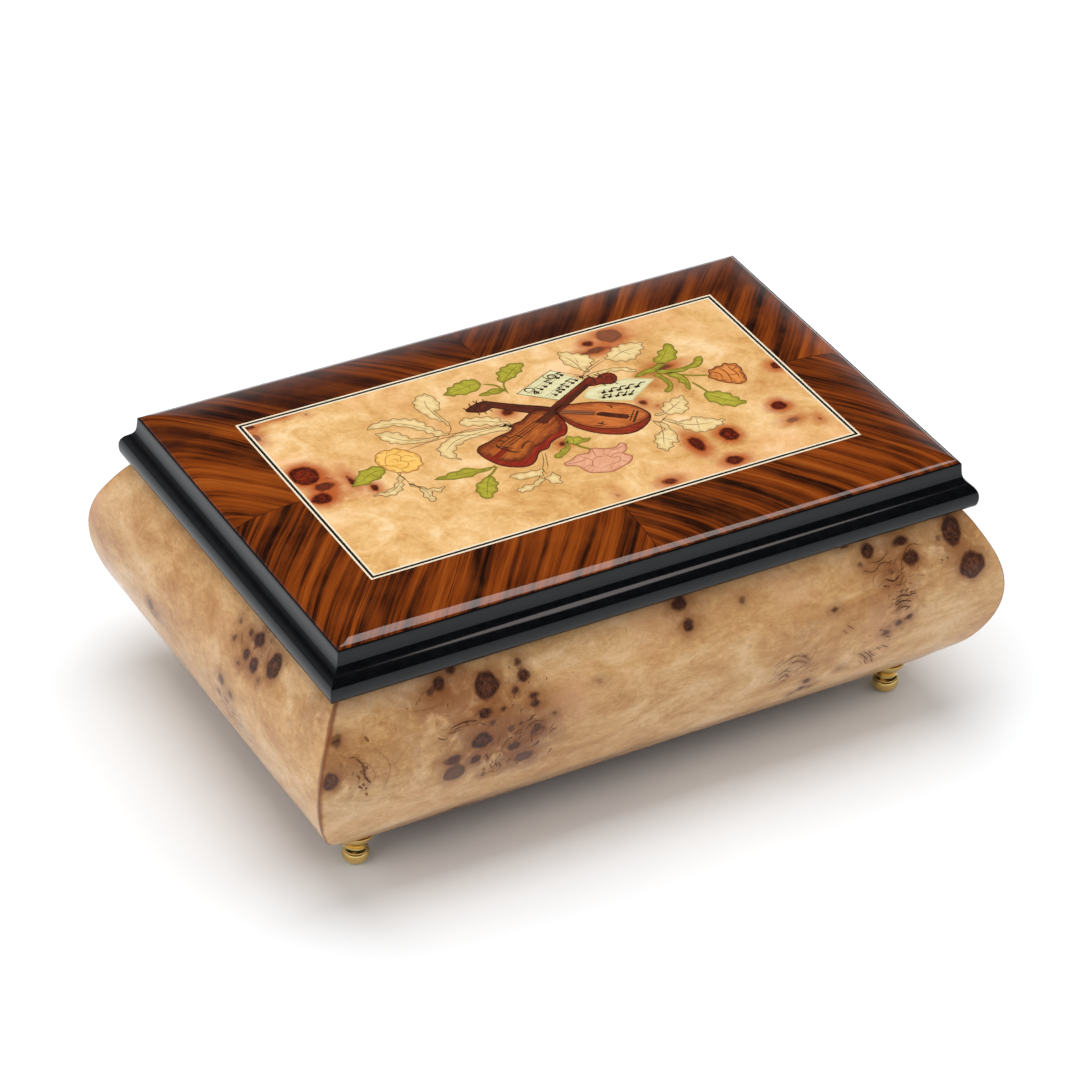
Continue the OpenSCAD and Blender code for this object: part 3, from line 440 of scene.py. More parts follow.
def burl(name, pale, light, mid, deep, warm_c, knot_c, core_c, cool_c, coat, rough, coat_rough, flow="xz", fib_amt=.3, bump=.05, coat_ior=1.42, stroke_amt=1.0):
    m = Mat(name)
    P = m.pos()
    flat = (1, 1, .45) if flow == "xy" else (.6, .6, 1.2)
    sw = m.stretch(P, scale=flat)
    big = m.noise(sw, 0.032, 4, 0.5, 0.8)
    cloud = m.noise(m.stretch(sw, loc=(12, 5, 3)), 0.085, 6, 0.58, 1.3)
    fig = m.noise(m.stretch(sw, loc=(3, 8, 31)), 0.3, 5, 0.62, 1.6)
    f = m.ma("ADD", m.ma("MULTIPLY", big, .4), m.ma("ADD", m.ma("MULTIPLY", cloud, .42), m.ma("MULTIPLY", fig, .18)))
    base = m.ramp(f, [(.38, deep), (.455, mid), (.53, light), (.605, pale)])
    # chatoyant curl: soft bright feathers running across the figure
    # painted sheen on the real curl figure: soft bright feathers running across it, with painted shade in darker
    # feathers beside them
    k = m.attr("knot")
    warp = m.ma("MULTIPLY", m.ma("SUBTRACT", m.noise(sw, .06, 4, .55, .6), .5), 34)
    sp = m.t.nodes.new("ShaderNodeSeparateXYZ"); m.put(sp.inputs[0], P)
    across = m.ma("ADD", m.ma("ADD", m.ma("MULTIPLY", sp.outputs[0], .55), m.ma("MULTIPLY", sp.outputs[2 if flow == "xz" else 1], 1.0)), m.ma("MULTIPLY", sp.outputs[1], .55 if flow == "xz" else 0))
    curl_sheen = m.noise(m.n("ShaderNodeCombineXYZ", [m.ma("ADD", across, warp), m.ma("MULTIPLY", across, .06), 0.0]), .42, 3, .5, .3)
    where = m.step(m.noise(m.stretch(P, loc=(40, 3, 9)), .05, 3), .42, .62)
    base = m.mix(m.ma("MULTIPLY", m.step(curl_sheen, .52, .74), m.ma("MULTIPLY", where, .2)), base, lin(tuple(min(255, c * 1.06 + 6) for c in pale)))
    base = m.mix(m.ma("MULTIPLY", m.step(curl_sheen, .46, .3), m.ma("MULTIPLY", where, .3)), base, lin(tuple(c * .9 for c in mid)))
    # fibre: follows the flow far from the eyes and rings round them close by
    nearby = m.step(k, 6.5, .6)
    ringn = m.noise(m.n("ShaderNodeCombineXYZ", [m.ma("ADD", m.ma("MULTIPLY", k, 2.1), m.ma("MULTIPLY", m.noise(P, .22, 3, .6), 5.5)), m.noise(P, .1, 2), 0.0]), 1.0, 3, .6)
    wv = m.vm("ADD", P, m.n("ShaderNodeVectorMath", {0: m.noise(sw, 0.055, 4, 0.55, .5, col=True), 3: 26.0}, operation="SCALE"))
    fib = m.noise(m.stretch(wv, scale=(.28, .28, 1.5) if flow == "xz" else (.45, 1.3, 1)), 1.5, 4, 0.66)
    both = m.n("ShaderNodeMix", {0: m.ma("MULTIPLY", nearby, .75), 2: fib, 3: ringn}, data_type="FLOAT")
    base = m.mix(m.step(both, .45, .72, 0, fib_amt), base, lin(tuple(c * .82 for c in deep)))
    base = m.mix(m.step(both, .46, .3, 0, fib_amt * .6), base, lin(pale))
    grainy = m.noise(P, 3.2, 3, .7)
    base = m.mix(m.step(grainy, .5, .75, 0, .24), base, lin(tuple(c * .8 for c in mid)))
    # worm-fine figure and slow drifts of a pinker tone
    verm = m.noise(m.stretch(wv, loc=(4, 17, 6), scale=(.7, .7, 1.3) if flow == "xz" else (.9, 1.2, 1)), 1.15, 4, .7, 1.1)
    base = m.mix(m.step(verm, .5, .74, 0, .3 if flow == "xz" else .2), base, lin(tuple(c * .74 for c in mid)))
    base = m.mix(m.step(verm, .47, .3, 0, .22), base, lin(tuple(min(255, c * 1.04 + 4) for c in pale)))
    rosy = m.step(m.noise(m.stretch(P, loc=(2, 44, 18)), .028, 3, .55, .6), .5, .68, 0, .42)
    base = m.mix(rosy, base, lin((214, 158, 122) if flow == "xz" else (232, 172, 124)))
    # short dark strokes that gather in the warm patches
    R1 = m.stretch(wv, rot=(0, .62, 0) if flow == "xz" else (0, 0, -.62))
    stro = m.noise(m.stretch(R1, scale=(.3, .3, 1.7) if flow == "xz" else (.3, 1.7, 1)), .62, 3, .6, .25)
    gathers = m.step(m.ma("MULTIPLY", m.attr("warm"), m.step(m.noise(m.stretch(P, loc=(71, 2, 8)), .16, 2), .42, .6)), .34, .7)
    stroke = m.ma("MULTIPLY", m.step(stro, .6, .68), gathers)
    # colour round the eyes
    wn = m.noise(m.stretch(P, loc=(5, 5, 5)), .2, 5, .62, .9)
    warm = m.ma("MULTIPLY", m.attr("warm"), m.step(m.ma("ADD", wn, m.ma("MULTIPLY", m.attr("warm"), .16)), .36, .66))
    base = m.mix(m.ma("MULTIPLY", warm, .9), base, lin(warm_c))
    cool = m.ma("MULTIPLY", m.attr("cool"), m.step(m.noise(m.stretch(P, loc=(9, 4, 1)), .32, 4, .62, .9), .34, .6))
    base = m.mix(m.ma("MULTIPLY", cool, .62), base, lin(cool_c))
    # pin eyes scattered through the warm patches
    pv = m.t.nodes.new("ShaderNodeTexVoronoi"); pv.inputs["Scale"].default_value = .34
    m.put(pv.inputs["Vector"], wv)
    pin = m.ma("MULTIPLY", m.step(m.ma("ADD", pv.outputs[0], m.ma("MULTIPLY", m.ma("SUBTRACT", m.noise(P, 1.6, 3), .5), .25)), .2, .1), m.step(m.ma("MULTIPLY", m.attr("warm"), m.step(m.noise(P, .35, 2), .45, .6)), .3, .55))
    base = m.mix(m.ma("MULTIPLY", pin, .7), base, lin(tuple(c * .85 for c in knot_c)))
    base = m.mix(m.ma("MULTIPLY", stroke, .62 * stroke_amt), base, lin(tuple(c * .9 for c in knot_c)))
    jag = m.ma("ADD", m.ma("MULTIPLY", m.ma("SUBTRACT", m.noise(P, .34, 2, .5), .5), 1.7), m.ma("MULTIPLY", m.ma("SUBTRACT", m.noise(P, 2.0, 3, .55), .5), .34))
    kk = m.ma("ADD", k, jag)
    dark = m.attr("dark")
    halo = m.ma("MULTIPLY", m.step(kk, 2.8 if flow == "xz" else 3.6, -.1), m.ma("MULTIPLY", dark, .6 if flow == "xz" else .85))
    base = m.mix(halo, base, lin(warm_c))
    edge = m.ma("MULTIPLY", m.step(kk, .55, -.1), m.ma("MULTIPLY", dark, .75))
    base = m.mix(edge, base, lin(knot_c))
    base = m.mix(m.ma("MULTIPLY", m.step(m.attr("tick"), 1.3, .1), m.ma("MULTIPLY", m.attr("tdark"), .5)), base, lin(warm_c))
    core = m.ramp(m.ma("ADD", m.ma("MULTIPLY", m.noise(P, 1.1, 4, .7, .8), .9), m.ma("MULTIPLY", m.step(kk, -.2, -2.6), .08)), [(.36, core_c), (.47, tuple((c + d) / 2 for c, d in zip(knot_c, core_c))), (.62, tuple(min(255, c * 1.12) for c in knot_c))])
    body = m.ma("MULTIPLY", m.step(kk, .34, -.46), m.step(dark, .35, .95, .6, 1.0, smooth=False))
    faded = m.mix(m.step(dark, .9, .5, 0, .5), core, lin(tuple(c * .8 for c in cool_c)))
    base = m.mix(body, base, faded)
    rimd = m.ma("MULTIPLY", m.step(m.ma("ABSOLUTE", m.ma("ADD", kk, .45)), .5, .05), m.ma("MULTIPLY", dark, .22))
    base = m.mix(rimd, base, lin(core_c))
    seam = m.step(m.ma("ADD", m.attr("seam"), m.ma("MULTIPLY", m.ma("SUBTRACT", m.noise(P, .2, 3), .5), .8)), .75, .1, 0, .8)
    base = m.mix(seam, base, lin((128, 66, 34)))
    h = m.ma("SUBTRACT", m.ma("MULTIPLY", both, .5), m.ma("MULTIPLY", m.step(kk, .1, -.3), .5))
    r = m.step(m.noise(P, .12, 4), .3, .7, rough - .05, rough + .07)
    return m.shade(base, r, m.bump(h, bump, .00004), Coat_Weight=coat, Coat_Roughness=coat_rough, Coat_IOR=coat_ior, Specular_IOR_Level=.18)


def velvet(name, c0, c1, c2):
    m = Mat(name)
    P = m.pos()
    nap = m.noise(P, .12, 4, .6, .8)
    pile = m.noise(P, 6.5, 3, .7)
    crush = m.noise(m.stretch(P, scale=(1, .5, 1)), .35, 4, .6, 1.0)
    f = m.ma("ADD", m.ma("MULTIPLY", nap, .5), m.ma("ADD", m.ma("MULTIPLY", crush, .3), m.ma("MULTIPLY", pile, .2)))
    col = m.ramp(f, [(.36, c0), (.5, c1), (.64, c2)])
    h = m.ma("ADD", m.ma("MULTIPLY", pile, .7), m.ma("MULTIPLY", crush, .6))
    m.b.inputs["Sheen Tint"].default_value = (*lin((225, 70, 80)), 1)
    return m.shade(col, m.step(pile, .3, .7, .82, .98), m.bump(h, .75, .00025), Sheen_Weight=.55, Sheen_Roughness=.35, Specular_IOR_Level=.12)


def stain(name, c0, c1, c2, along=(.06, .9, .9), rough=.42, coat=.25, spec=.4):
    m = Mat(name)
    P = m.pos()
    w = m.vm("ADD", P, m.vm("SCALE", m.noise(P, .03, 3, .5, 0, col=True), None, None))
    w.node.inputs[1].links[0].from_node.inputs[3].default_value = 9.0
    g = m.noise(m.stretch(w, scale=along), .5, 5, .6)
    pores = m.step(m.noise(m.stretch(P, scale=tuple(a * 1.0 if a < .2 else 3.2 for a in along)), .9, 2, .6), .58, .72)
    col = m.ramp(g, [(.32, c0), (.5, c1), (.68, c2)])
    col = m.mix(m.ma("MULTIPLY", pores, .5), col, lin(tuple(c * .55 for c in c0)))
    h = m.ma("SUBTRACT", m.ma("MULTIPLY", g, .5), m.ma("MULTIPLY", pores, .6))
    return m.shade(col, m.step(g, .3, .7, rough - .06, rough + .08), m.bump(h, .35, .00008), Coat_Weight=coat, Coat_Roughness=.2, Specular_IOR_Level=spec)


def metal(name, base, dark, rough, scale=(1, 1, 1), amount=.25, bumpy=.25, coat=0.0, speck=.3, metallic=1.0, vary=1.0):
    """Machined metal: stretched scratches along the tool's path, tarnish in patches, a little grime."""
    m = Mat(name)
    P = m.pos()
    scr = m.noise(m.stretch(P, scale=scale), 2.6, 4, .7)
    patch = m.noise(P, .16, 4, .6, .5)
    fine = m.noise(P, 5.0, 2, .6)
    col = m.mix(m.ma("MULTIPLY", m.step(patch, .38, .72), amount), lin(base), lin(dark))
    col = m.mix(m.step(scr, .56, .74, 0, speck), col, lin(tuple(c * .7 for c in dark)))
    r = m.ma("ADD", m.step(scr, .3, .7, rough - .04 * vary, rough + .1 * vary), m.step(patch, .4, .8, 0, .1 * vary))
    return m.shade(col, r, m.bump(m.ma("ADD", m.ma("MULTIPLY", scr, .7), m.ma("MULTIPLY", fine, .3)), bumpy, .00003), Metallic=metallic, Coat_Weight=coat, Coat_Roughness=.15)


BURL_CASE = burl("burl_case", (232, 192, 144), (218, 171, 116), (202, 150, 95), (183, 126, 73), (130, 72, 34), (102, 60, 40), (50, 26, 18), (128, 98, 90), .5, .38, .14, coat_ior=1.3)
BURL_PANEL = burl("burl_panel", (240, 205, 155), (228, 184, 123), (213, 163, 97), (193, 136, 73), (172, 74, 20), (118, 36, 8), (46, 11, 3), (188, 140, 102), 1.0, .34, .03, flow="xy", fib_amt=.14, bump=.04, stroke_amt=.25)


def rosewood():
    m = Mat("rosewood")
    P = m.pos()
    sp = m.t.nodes.new("ShaderNodeSeparateXYZ"); m.put(sp.inputs[0], P)
    ax, ay = m.ma("ABSOLUTE", sp.outputs[0]), m.ma("ABSOLUTE", sp.outputs[1])
    th = math.radians(49)
    seed = m.ma("ADD", m.ma("MULTIPLY", m.ma("SIGN", sp.outputs[0]), 37), m.ma("MULTIPLY", m.ma("SIGN", sp.outputs[1]), 91))
    u = m.ma("ADD", m.ma("MULTIPLY", ax, math.cos(th)), m.ma("MULTIPLY", ay, math.sin(th)))
    v = m.ma("SUBTRACT", m.ma("MULTIPLY", ay, math.cos(th)), m.ma("MULTIPLY", ax, math.sin(th)))

    def vec(su, sv):
        return m.n("ShaderNodeCombineXYZ", [m.ma("MULTIPLY", u, su), m.ma("MULTIPLY", v, sv), seed])
    bend = m.ma("MULTIPLY", m.ma("SUBTRACT", m.noise(vec(.018, .022), 1.0, 2, .4), .5), 6)
    v0 = v
    v = m.ma("ADD", v0, bend)
    broad = m.noise(vec(.008, .24), 1.0, 3, .55, .12)
    line = m.noise(vec(.02, .8), 1.0, 5, .66, .15)
    f = m.ma("ADD", m.ma("MULTIPLY", broad, .6), m.ma("MULTIPLY", line, .4))
    col = m.ramp(f, [(.375, (19, 8, 4)), (.435, (46, 18, 6)), (.48, (82, 34, 9)), (.525, (113, 49, 11)), (.585, (134, 63, 15)), (.67, (152, 80, 27))])
    back = m.ma("MULTIPLY", m.step(sp.outputs[1], 37, 42), m.step(m.noise(vec(.02, .05), 1.0, 2), .35, .6, .25, .8))
    col = m.mix(back, col, lin((52, 24, 16)))
    streak = m.step(m.noise(vec(.02, 2.6), 1.0, 3, .6), .58, .68, 0, .7)
    col = m.mix(streak, col, lin((30, 11, 4)))
    pores = m.step(m.noise(vec(.16, 5.5), 1.0, 2, .6), .6, .74, 0, .55)
    col = m.mix(pores, col, lin((26, 9, 4)))
    sheen = m.step(m.noise(vec(.09, .12), 1.0, 3), .4, .7, .0, .16)
    col = m.mix(sheen, col, lin((160, 78, 26)))
    # hairline joints: the mitres and where the quarters meet
    g = m.ma("ABSOLUTE", m.ma("SUBTRACT", m.ma("SUBTRACT", HL, ax), m.ma("SUBTRACT", HW, ay)))
    j = m.ma("MINIMUM", m.ma("MINIMUM", ax, ay), g)
    col = m.mix(m.step(j, .2, .05, 0, .7), col, lin((20, 8, 5)))
    h = m.ma("SUBTRACT", m.ma("MULTIPLY", line, .4), m.ma("MULTIPLY", pores, .6))
    return m.shade(col, m.step(line, .3, .7, .26, .38), m.bump(h, .1, .00004), Coat_Weight=1.0, Coat_Roughness=.02, Specular_IOR_Level=.0)


def lacquer():
    m = Mat("black_lacquer")
    P = m.pos()
    n = m.noise(P, .35, 3, .5)
    fine = m.noise(m.stretch(P, scale=(.3, 1, 1)), 3.5, 3, .6)
    col = m.mix(m.step(n, .3, .75), lin((9, 9, 10)), lin((16, 16, 18)))
    m.b.inputs["Coat Tint"].default_value = (.86, .94, 1, 1)
    return m.shade(col, m.step(fine, .3, .7, .2, .3), m.bump(n, .12, .00004), Coat_Weight=.9, Coat_Roughness=.07, Coat_IOR=1.4, Specular_IOR_Level=.0)


def veneer(name, c0, c1, c2, rim_c, rim_w=1.2, rim_amt=.6, along=(.35, 1.6, 1), rot=0.5, scale=.5, coat=1.0, has_rim=True):
    """Dyed or natural veneer with its own grain, scorched darker towards its edge as sand-shaded marquetry is."""
    m = Mat(name)
    P = m.pos()
    R = m.stretch(P, rot=(0, 0, rot))
    g = m.noise(m.stretch(R, scale=along), scale, 5, .62, .5)
    fine = m.noise(m.stretch(R, scale=(along[0] * .5, along[1] * 2.4, 1)), scale * 2.5, 3, .6)
    col = m.ramp(m.ma("ADD", m.ma("MULTIPLY", g, .65), m.ma("MULTIPLY", fine, .35)), [(.34, c0), (.5, c1), (.66, c2)])
    if has_rim:
        rim = m.ma("MULTIPLY", m.step(m.ma("ADD", m.attr("rim"), m.ma("MULTIPLY", m.ma("SUBTRACT", m.noise(P, .8, 3), .5), rim_w)), rim_w, 0.0), rim_amt)
        col = m.mix(rim, col, lin(rim_c))
    return m.shade(col, m.step(fine, .3, .7, .28, .4), m.bump(fine, .15, .00004), Coat_Weight=coat, Coat_Roughness=.035, Specular_IOR_Level=.45)


ROSE = rosewood()
BLACK = lacquer()
HOLLY = veneer("holly_line", (222, 206, 176), (236, 222, 194), (244, 232, 206), (0, 0, 0), has_rim=False, scale=1.2)
EBONY = veneer("ebony_line", (18, 14, 12), (26, 20, 18), (36, 28, 24), (0, 0, 0), has_rim=False, scale=1.2)
VTOP = veneer("violin_top", (118, 48, 12), (164, 80, 24), (196, 112, 42), (86, 24, 6), 2.6, .85, rot=-.5)
VNECK = veneer("violin_neck_wood", (96, 26, 10), (124, 38, 14), (148, 56, 22), (60, 14, 6), .7, .6, rot=-.5)
VRIB = veneer("violin_ribs", (112, 22, 6), (142, 34, 10), (164, 50, 18), (72, 12, 4), .9, .5, rot=-.5)
MTOP = veneer("mandolin_top", (160, 76, 26), (190, 102, 42), (212, 126, 60), (122, 44, 14), 2.0, .75, rot=.6)
MBOWL = veneer("mandolin_bowl", (110, 28, 10), (138, 42, 14), (160, 58, 24), (70, 14, 4), .9, .5, rot=.6)
NECK = veneer("fingerboards", (58, 22, 12), (86, 32, 16), (112, 44, 20), (36, 12, 6), .6, .5, rot=-.5)
PALE = veneer("page_veneer", (204, 196, 144), (218, 210, 162), (228, 222, 178), (158, 148, 96), .7, .45, rot=.4)
OLIVE = veneer("olive_veneer", (148, 138, 32), (170, 160, 46), (190, 180, 68), (108, 94, 16), 1.1, .65, rot=.9)
ACAN = veneer("acanthus_veneer", (216, 186, 126), (230, 202, 142), (240, 216, 162), (186, 148, 88), 1.1, .6, rot=.8)
YROSE = veneer("yellow_rose", (226, 168, 72), (238, 188, 94), (244, 204, 120), (176, 106, 36), .8, .75, rot=.3)
OROSE = veneer("orange_rose", (190, 102, 38), (216, 132, 60), (230, 156, 84), (104, 44, 14), 1.3, .85, rot=1.2)
PFLOW = veneer("pink_flower", (206, 140, 104), (222, 160, 124), (232, 176, 142), (156, 84, 56), .9, .7, rot=-.8)
INK = veneer("inked_lines", (44, 26, 14), (58, 34, 18), (74, 44, 24), (0, 0, 0), has_rim=False, scale=2.0)
BROWN = veneer("scorched_lines", (92, 64, 32), (108, 78, 42), (124, 92, 54), (0, 0, 0), has_rim=False, scale=2.0)
CARCASS = stain("stained_carcass", (88, 54, 30), (118, 76, 44), (146, 98, 60))
VELVET = velvet("red_velvet", (74, 6, 14), (112, 10, 22), (150, 26, 40))
BRASS = metal("polished_brass", (236, 204, 128), (190, 142, 66), .1, (1, 1, 1), .2, .12, speck=.1)
BRASSW = metal("machined_brass", (228, 190, 112), (176, 132, 66), .24, (.1, .5, .5), .3, .04, speck=.14, metallic=.7, vary=.4)
GILT = metal("gilt_plate", (218, 190, 130), (168, 136, 82), .32, (.8, .08, .8), .35, .04, coat=.12, speck=.14, metallic=.7, vary=.4)
STEEL = metal("ground_steel", (196, 198, 202), (128, 130, 136), .28, (.08, .7, .7), .3, .06, speck=.2, metallic=.75, vary=.4)
BLUED = metal("comb_steel", (184, 188, 196), (112, 118, 132), .26, (.06, .9, .8), .35, .06, speck=.2, metallic=.75, vary=.4)
CAST = metal("cast_base", (128, 130, 134), (82, 84, 90), .45, (.6, .6, .6), .4, .3, speck=.2, metallic=.6, vary=.5)


def acrylic():
    m = Mat("clear_sheet")
    P = m.pos()
    n = m.noise(P, .2, 4, .6)
    s = m.step(m.noise(m.stretch(P, scale=(.2, 1, 1), rot=(0, 0, .4)), 3.0, 3, .7), .66, .8, 0, .16)
    col = m.mix(m.step(n, .3, .7), lin((240, 248, 248)), lin((250, 254, 253)))
    return m.shade(col, m.ma("ADD", s, m.step(n, .3, .7, .02, .05)), m.bump(n, .1, .00003), Transmission_Weight=1.0, IOR=1.46)


CLEAR = acrylic()

# ------------------------------------------------------------------ case walls
prof = curve(WALL, 9)


def wall(name, along, side, knots, lines, warm, cool, node, flip=1):
    q_in = IN_W - HW if along == "x" else IN_L - HL
    zs = np.linspace(64.8, 10, 8)
    closed = [tuple(p) for p in prof] + [(q_in, z) for z in zs]
    V, F, U = run(closed, along, side, None, None, 250 if along == "x" else 165)
    P = U[:, :2] * np.array([flip, 1])
    at = burl_fields(P, knots, lines, warm, cool)
    n_out = len(prof) * ((250 if along == "x" else 165) + 1)
    at["knot"][n_out:] = 8; at["tick"][n_out:] = 9; at["dark"][n_out:] = 0; at["warm"][n_out:] = 0; at["cool"][n_out:] = 0
    up = np.clip((U[:, 1] - 26) / 14, 0, 1)
    here = (U[:, 0] < 0) if name in ("burl_wall_front", "burl_wall_left") else np.zeros(len(U), bool)
    at["seam"] = np.where(np.arange(len(U)) < n_out, np.clip(np.where(here, U[:, 2] / (1 + 1.1 * up), U[:, 2] * 2.0), 0, 8), 8)
    return build(name, V, F, BURL_CASE, "case", (node,), attrs=at, sharp=50)


def figure_lines(name, along, side, lines, flip=1, seed=1):
    """Dark bark lines of the burl: strips about 0.2 mm wide that follow the bombe surface, each nicked and tapered by hand-like variation."""
    rr = random.Random(seed)
    zs, qs = np.array([p[1] for p in prof]), np.array([p[0] for p in prof])
    V, F, tone = [], [], []
    for pts, w, k in lines:
        a = np.array(curve(pts, 6) if len(pts) > 2 else [np.array(pts[0], float) * (1 - t) + np.array(pts[1], float) * t for t in np.linspace(0, 1, 6)])
        n = len(a)
        a = a + np.array([[rr.gauss(0, .03), rr.gauss(0, .03)] for _ in range(n)])
        b0 = len(V)
        g = np.gradient(a, axis=0); g /= np.maximum(np.linalg.norm(g, axis=1), 1e-9)[:, None]
        for i in range(n):
            t = i / (n - 1)
            ww = .5 * w * 1.2 * (.2 + .8 * math.sin(math.pi * min(1, max(0, t))) ** .6) * rr.uniform(.6, 1.25)
            for sg, lift in ((1, .014), (-1, .014), (-1, -.15), (1, -.15)):
                s_, z_ = a[i][0] - g[i][1] * ww * sg, min(64.6, max(10.1, a[i][1] + g[i][0] * ww * sg))
                q = np.interp(z_, zs, qs); dq = (np.interp(z_ + .4, zs, qs) - np.interp(z_ - .4, zs, qs)) / .8
                l = math.hypot(1, dq)
                q, z_ = q + lift / l, z_ - lift * dq / l
                o = ((HW if along == "x" else HL) + q) * side
                V.append((s_ * flip, o, z_) if along == "x" else (o, s_ * flip, z_))
                tone.append(k)
        for i in range(n - 1):
            c, d = b0 + 4 * i, b0 + 4 * i + 4
            for e in range(4):
                F.append((c + e, c + (e + 1) % 4, d + (e + 1) % 4, d + e))
        F += [(b0, b0 + 3, b0 + 2, b0 + 1), tuple(b0 + 4 * (n - 1) + e for e in range(4))]
    return build(name, V, F, BARK, "case", smooth=False, attrs={"tone": tone})


def bark():
    m = Mat("bark_lines")
    P = m.pos()
    n = m.noise(P, 1.6, 4, .65)
    dark = m.ramp(n, [(.35, (46, 21, 11)), (.5, (74, 39, 21)), (.66, (108, 64, 37))])
    col = m.mix(m.step(m.attr("tone"), 1.0, .3, 0, .85), dark, lin((150, 100, 60)))
    return m.shade(col, m.step(n, .3, .7, .4, .55), m.bump(n, .2, .00003), Coat_Weight=.25, Coat_Roughness=.14, Coat_IOR=1.3, Specular_IOR_Level=.18)


BARK = bark()


def strokes(seed, cx, cy, sx, sy, n, ang, l0, l1, w0, w1, k0, k1):
    """A loose flock of short bark strokes round a centre, leaning one way."""
    r2 = random.Random(seed)
    out = []
    for _ in range(n):
        x, y, t, l = cx + r2.gauss(0, sx), cy + r2.gauss(0, sy), ang + r2.gauss(0, .3), r2.uniform(l0, l1)
        bow = r2.uniform(-.18, .18) * l
        out.append(([(x, y), (x + l / 2 * math.cos(t) - bow * math.sin(t), y + l / 2 * math.sin(t) + bow * math.cos(t)), (x + l * math.cos(t), y + l * math.sin(t))], r2.uniform(w0, w1), r2.uniform(k0, k1)))
    return out


FRONT_EXTRA = (strokes(3, -45, 41, 4.5, 4.0, 46, .75, .8, 2.6, .14, .34, .5, .95) + strokes(4, -62, 49.5, 5, .9, 12, .2, 1.2, 3.4, .12, .3, .5, .85) + strokes(5, -53.5, 35, 2.5, 1.6, 14, 1.0, .8, 2.0, .14, .3, .6, .9)
               + strokes(6, -91.5, 45.5, .9, 2.6, 11, 1.9, .8, 1.8, .35, .8, .45, .65) + strokes(7, 71.5, 46.5, 1.8, 2.2, 22, .5, .8, 2.4, .16, .36, .6, .95) + strokes(8, 69, 54, 5, 2.6, 20, .4, 1.0, 3.0, .1, .22, .5, .85)
               + strokes(9, 38, 35, 3.6, 2.4, 20, .5, 1.0, 3.4, .1, .2, .4, .8) + strokes(10, 62, 30.5, 2.4, 2.0, 10, -.85, 1.4, 3.4, .12, .26, .5, .85) + strokes(12, -44, 55.5, 3, 4.5, 10, 1.1, .6, 1.6, .14, .3, .5, .85)
               + strokes(13, -68, 58, 3.5, 2.2, 9, .9, .7, 1.8, .14, .26, .5, .8) + strokes(14, -57, 12.6, 9, .7, 16, .06, 1.5, 5, .12, .3, .5, .9) + strokes(15, -2, 17, 8, 2, 12, .15, 1.2, 3.6, .08, .16, .3, .6)
               + strokes(16, 66, 38, 2.6, 1.6, 10, .8, .6, 1.6, .14, .28, .5, .8) + strokes(17, -97.5, 47, 1.2, 2.2, 6, 1.4, .6, 1.4, .14, .26, .5, .8))
LEFT_EXTRA = (strokes(23, 17, 36, 5, 3, 16, -.15, 1, 3.4, .1, .24, .25, .6) + strokes(24, 24, 57, 4, 3.4, 12, 1.2, .5, 1.4, .12, .24, .4, .8) + strokes(25, -29, 38, 2, 1.4, 6, -.3, .8, 2, .12, .22, .3, .6))
wall("burl_wall_front", "x", -1, FRONT_KNOTS, FRONT_LINES, FRONT_WARM, FRONT_COOL, "front_wall")
wall("burl_wall_left", "y", -1, LEFT_KNOTS, LEFT_LINES, LEFT_WARM, LEFT_COOL, "left_wall", flip=-1)
WR, WB = wild(11, -45, 45, 24, 58, 3), wild(23, -85, 85, 22, 58, 5)
wall("burl_wall_right", "y", 1, *WR, "right_wall")
bw = wall("burl_wall_back", "x", 1, *WB, "back_wall")
figure_lines("burl_lines_front", "x", -1, FRONT_LINES + FRONT_EXTRA, seed=1)
figure_lines("burl_lines_left", "y", -1, LEFT_LINES + LEFT_EXTRA, flip=-1, seed=2)
figure_lines("burl_lines_right", "y", 1, WR[1], seed=3)
figure_lines("burl_lines_back", "x", 1, WB[1], seed=4)
cut_boxes(bw, [((x - 12.7, 50.9, 64.0), (x + 12.7, 72, 67)) for x in HINGE_X])

# ------------------------------------------------------------------ lid moulding
mo = [tuple(p) for p in curve(MOULD[:16], 4)[:-1]] + MOULD[15:]


def moulding(name, along, side, node):
    q_in = IN_W - HW if along == "x" else IN_L - HL
    closed = mo + [(-RIM, 69.0), (q_in, 69.0), (q_in, 65.0)]
    V, F, U = run(closed, along, side, None, None, 24)
    return build(name, V, F, BLACK, "lid", node, attrs={}, sharp=38)


moulding("ogee_moulding_front", "x", -1, ("moulding_front",))
mb = moulding("ogee_moulding_back", "x", 1, ("moulding_back",))
cut_boxes(mb, [((x - 12.7, 50.9, 64.0), (x + 12.7, 63.4, 65.8)) for x in HINGE_X])
moulding("ogee_moulding_left", "y", -1, ("moulding_sides",))
moulding("ogee_moulding_right", "y", 1, ("moulding_sides",))

# ------------------------------------------------------------------ crowned rosewood crossbanding, one piece a quarter
def crown_z(d):
    c = curve(CROWN, 12)
    return PANEL_Z - np.interp(d, [p[0] for p in c], [p[1] for p in c])


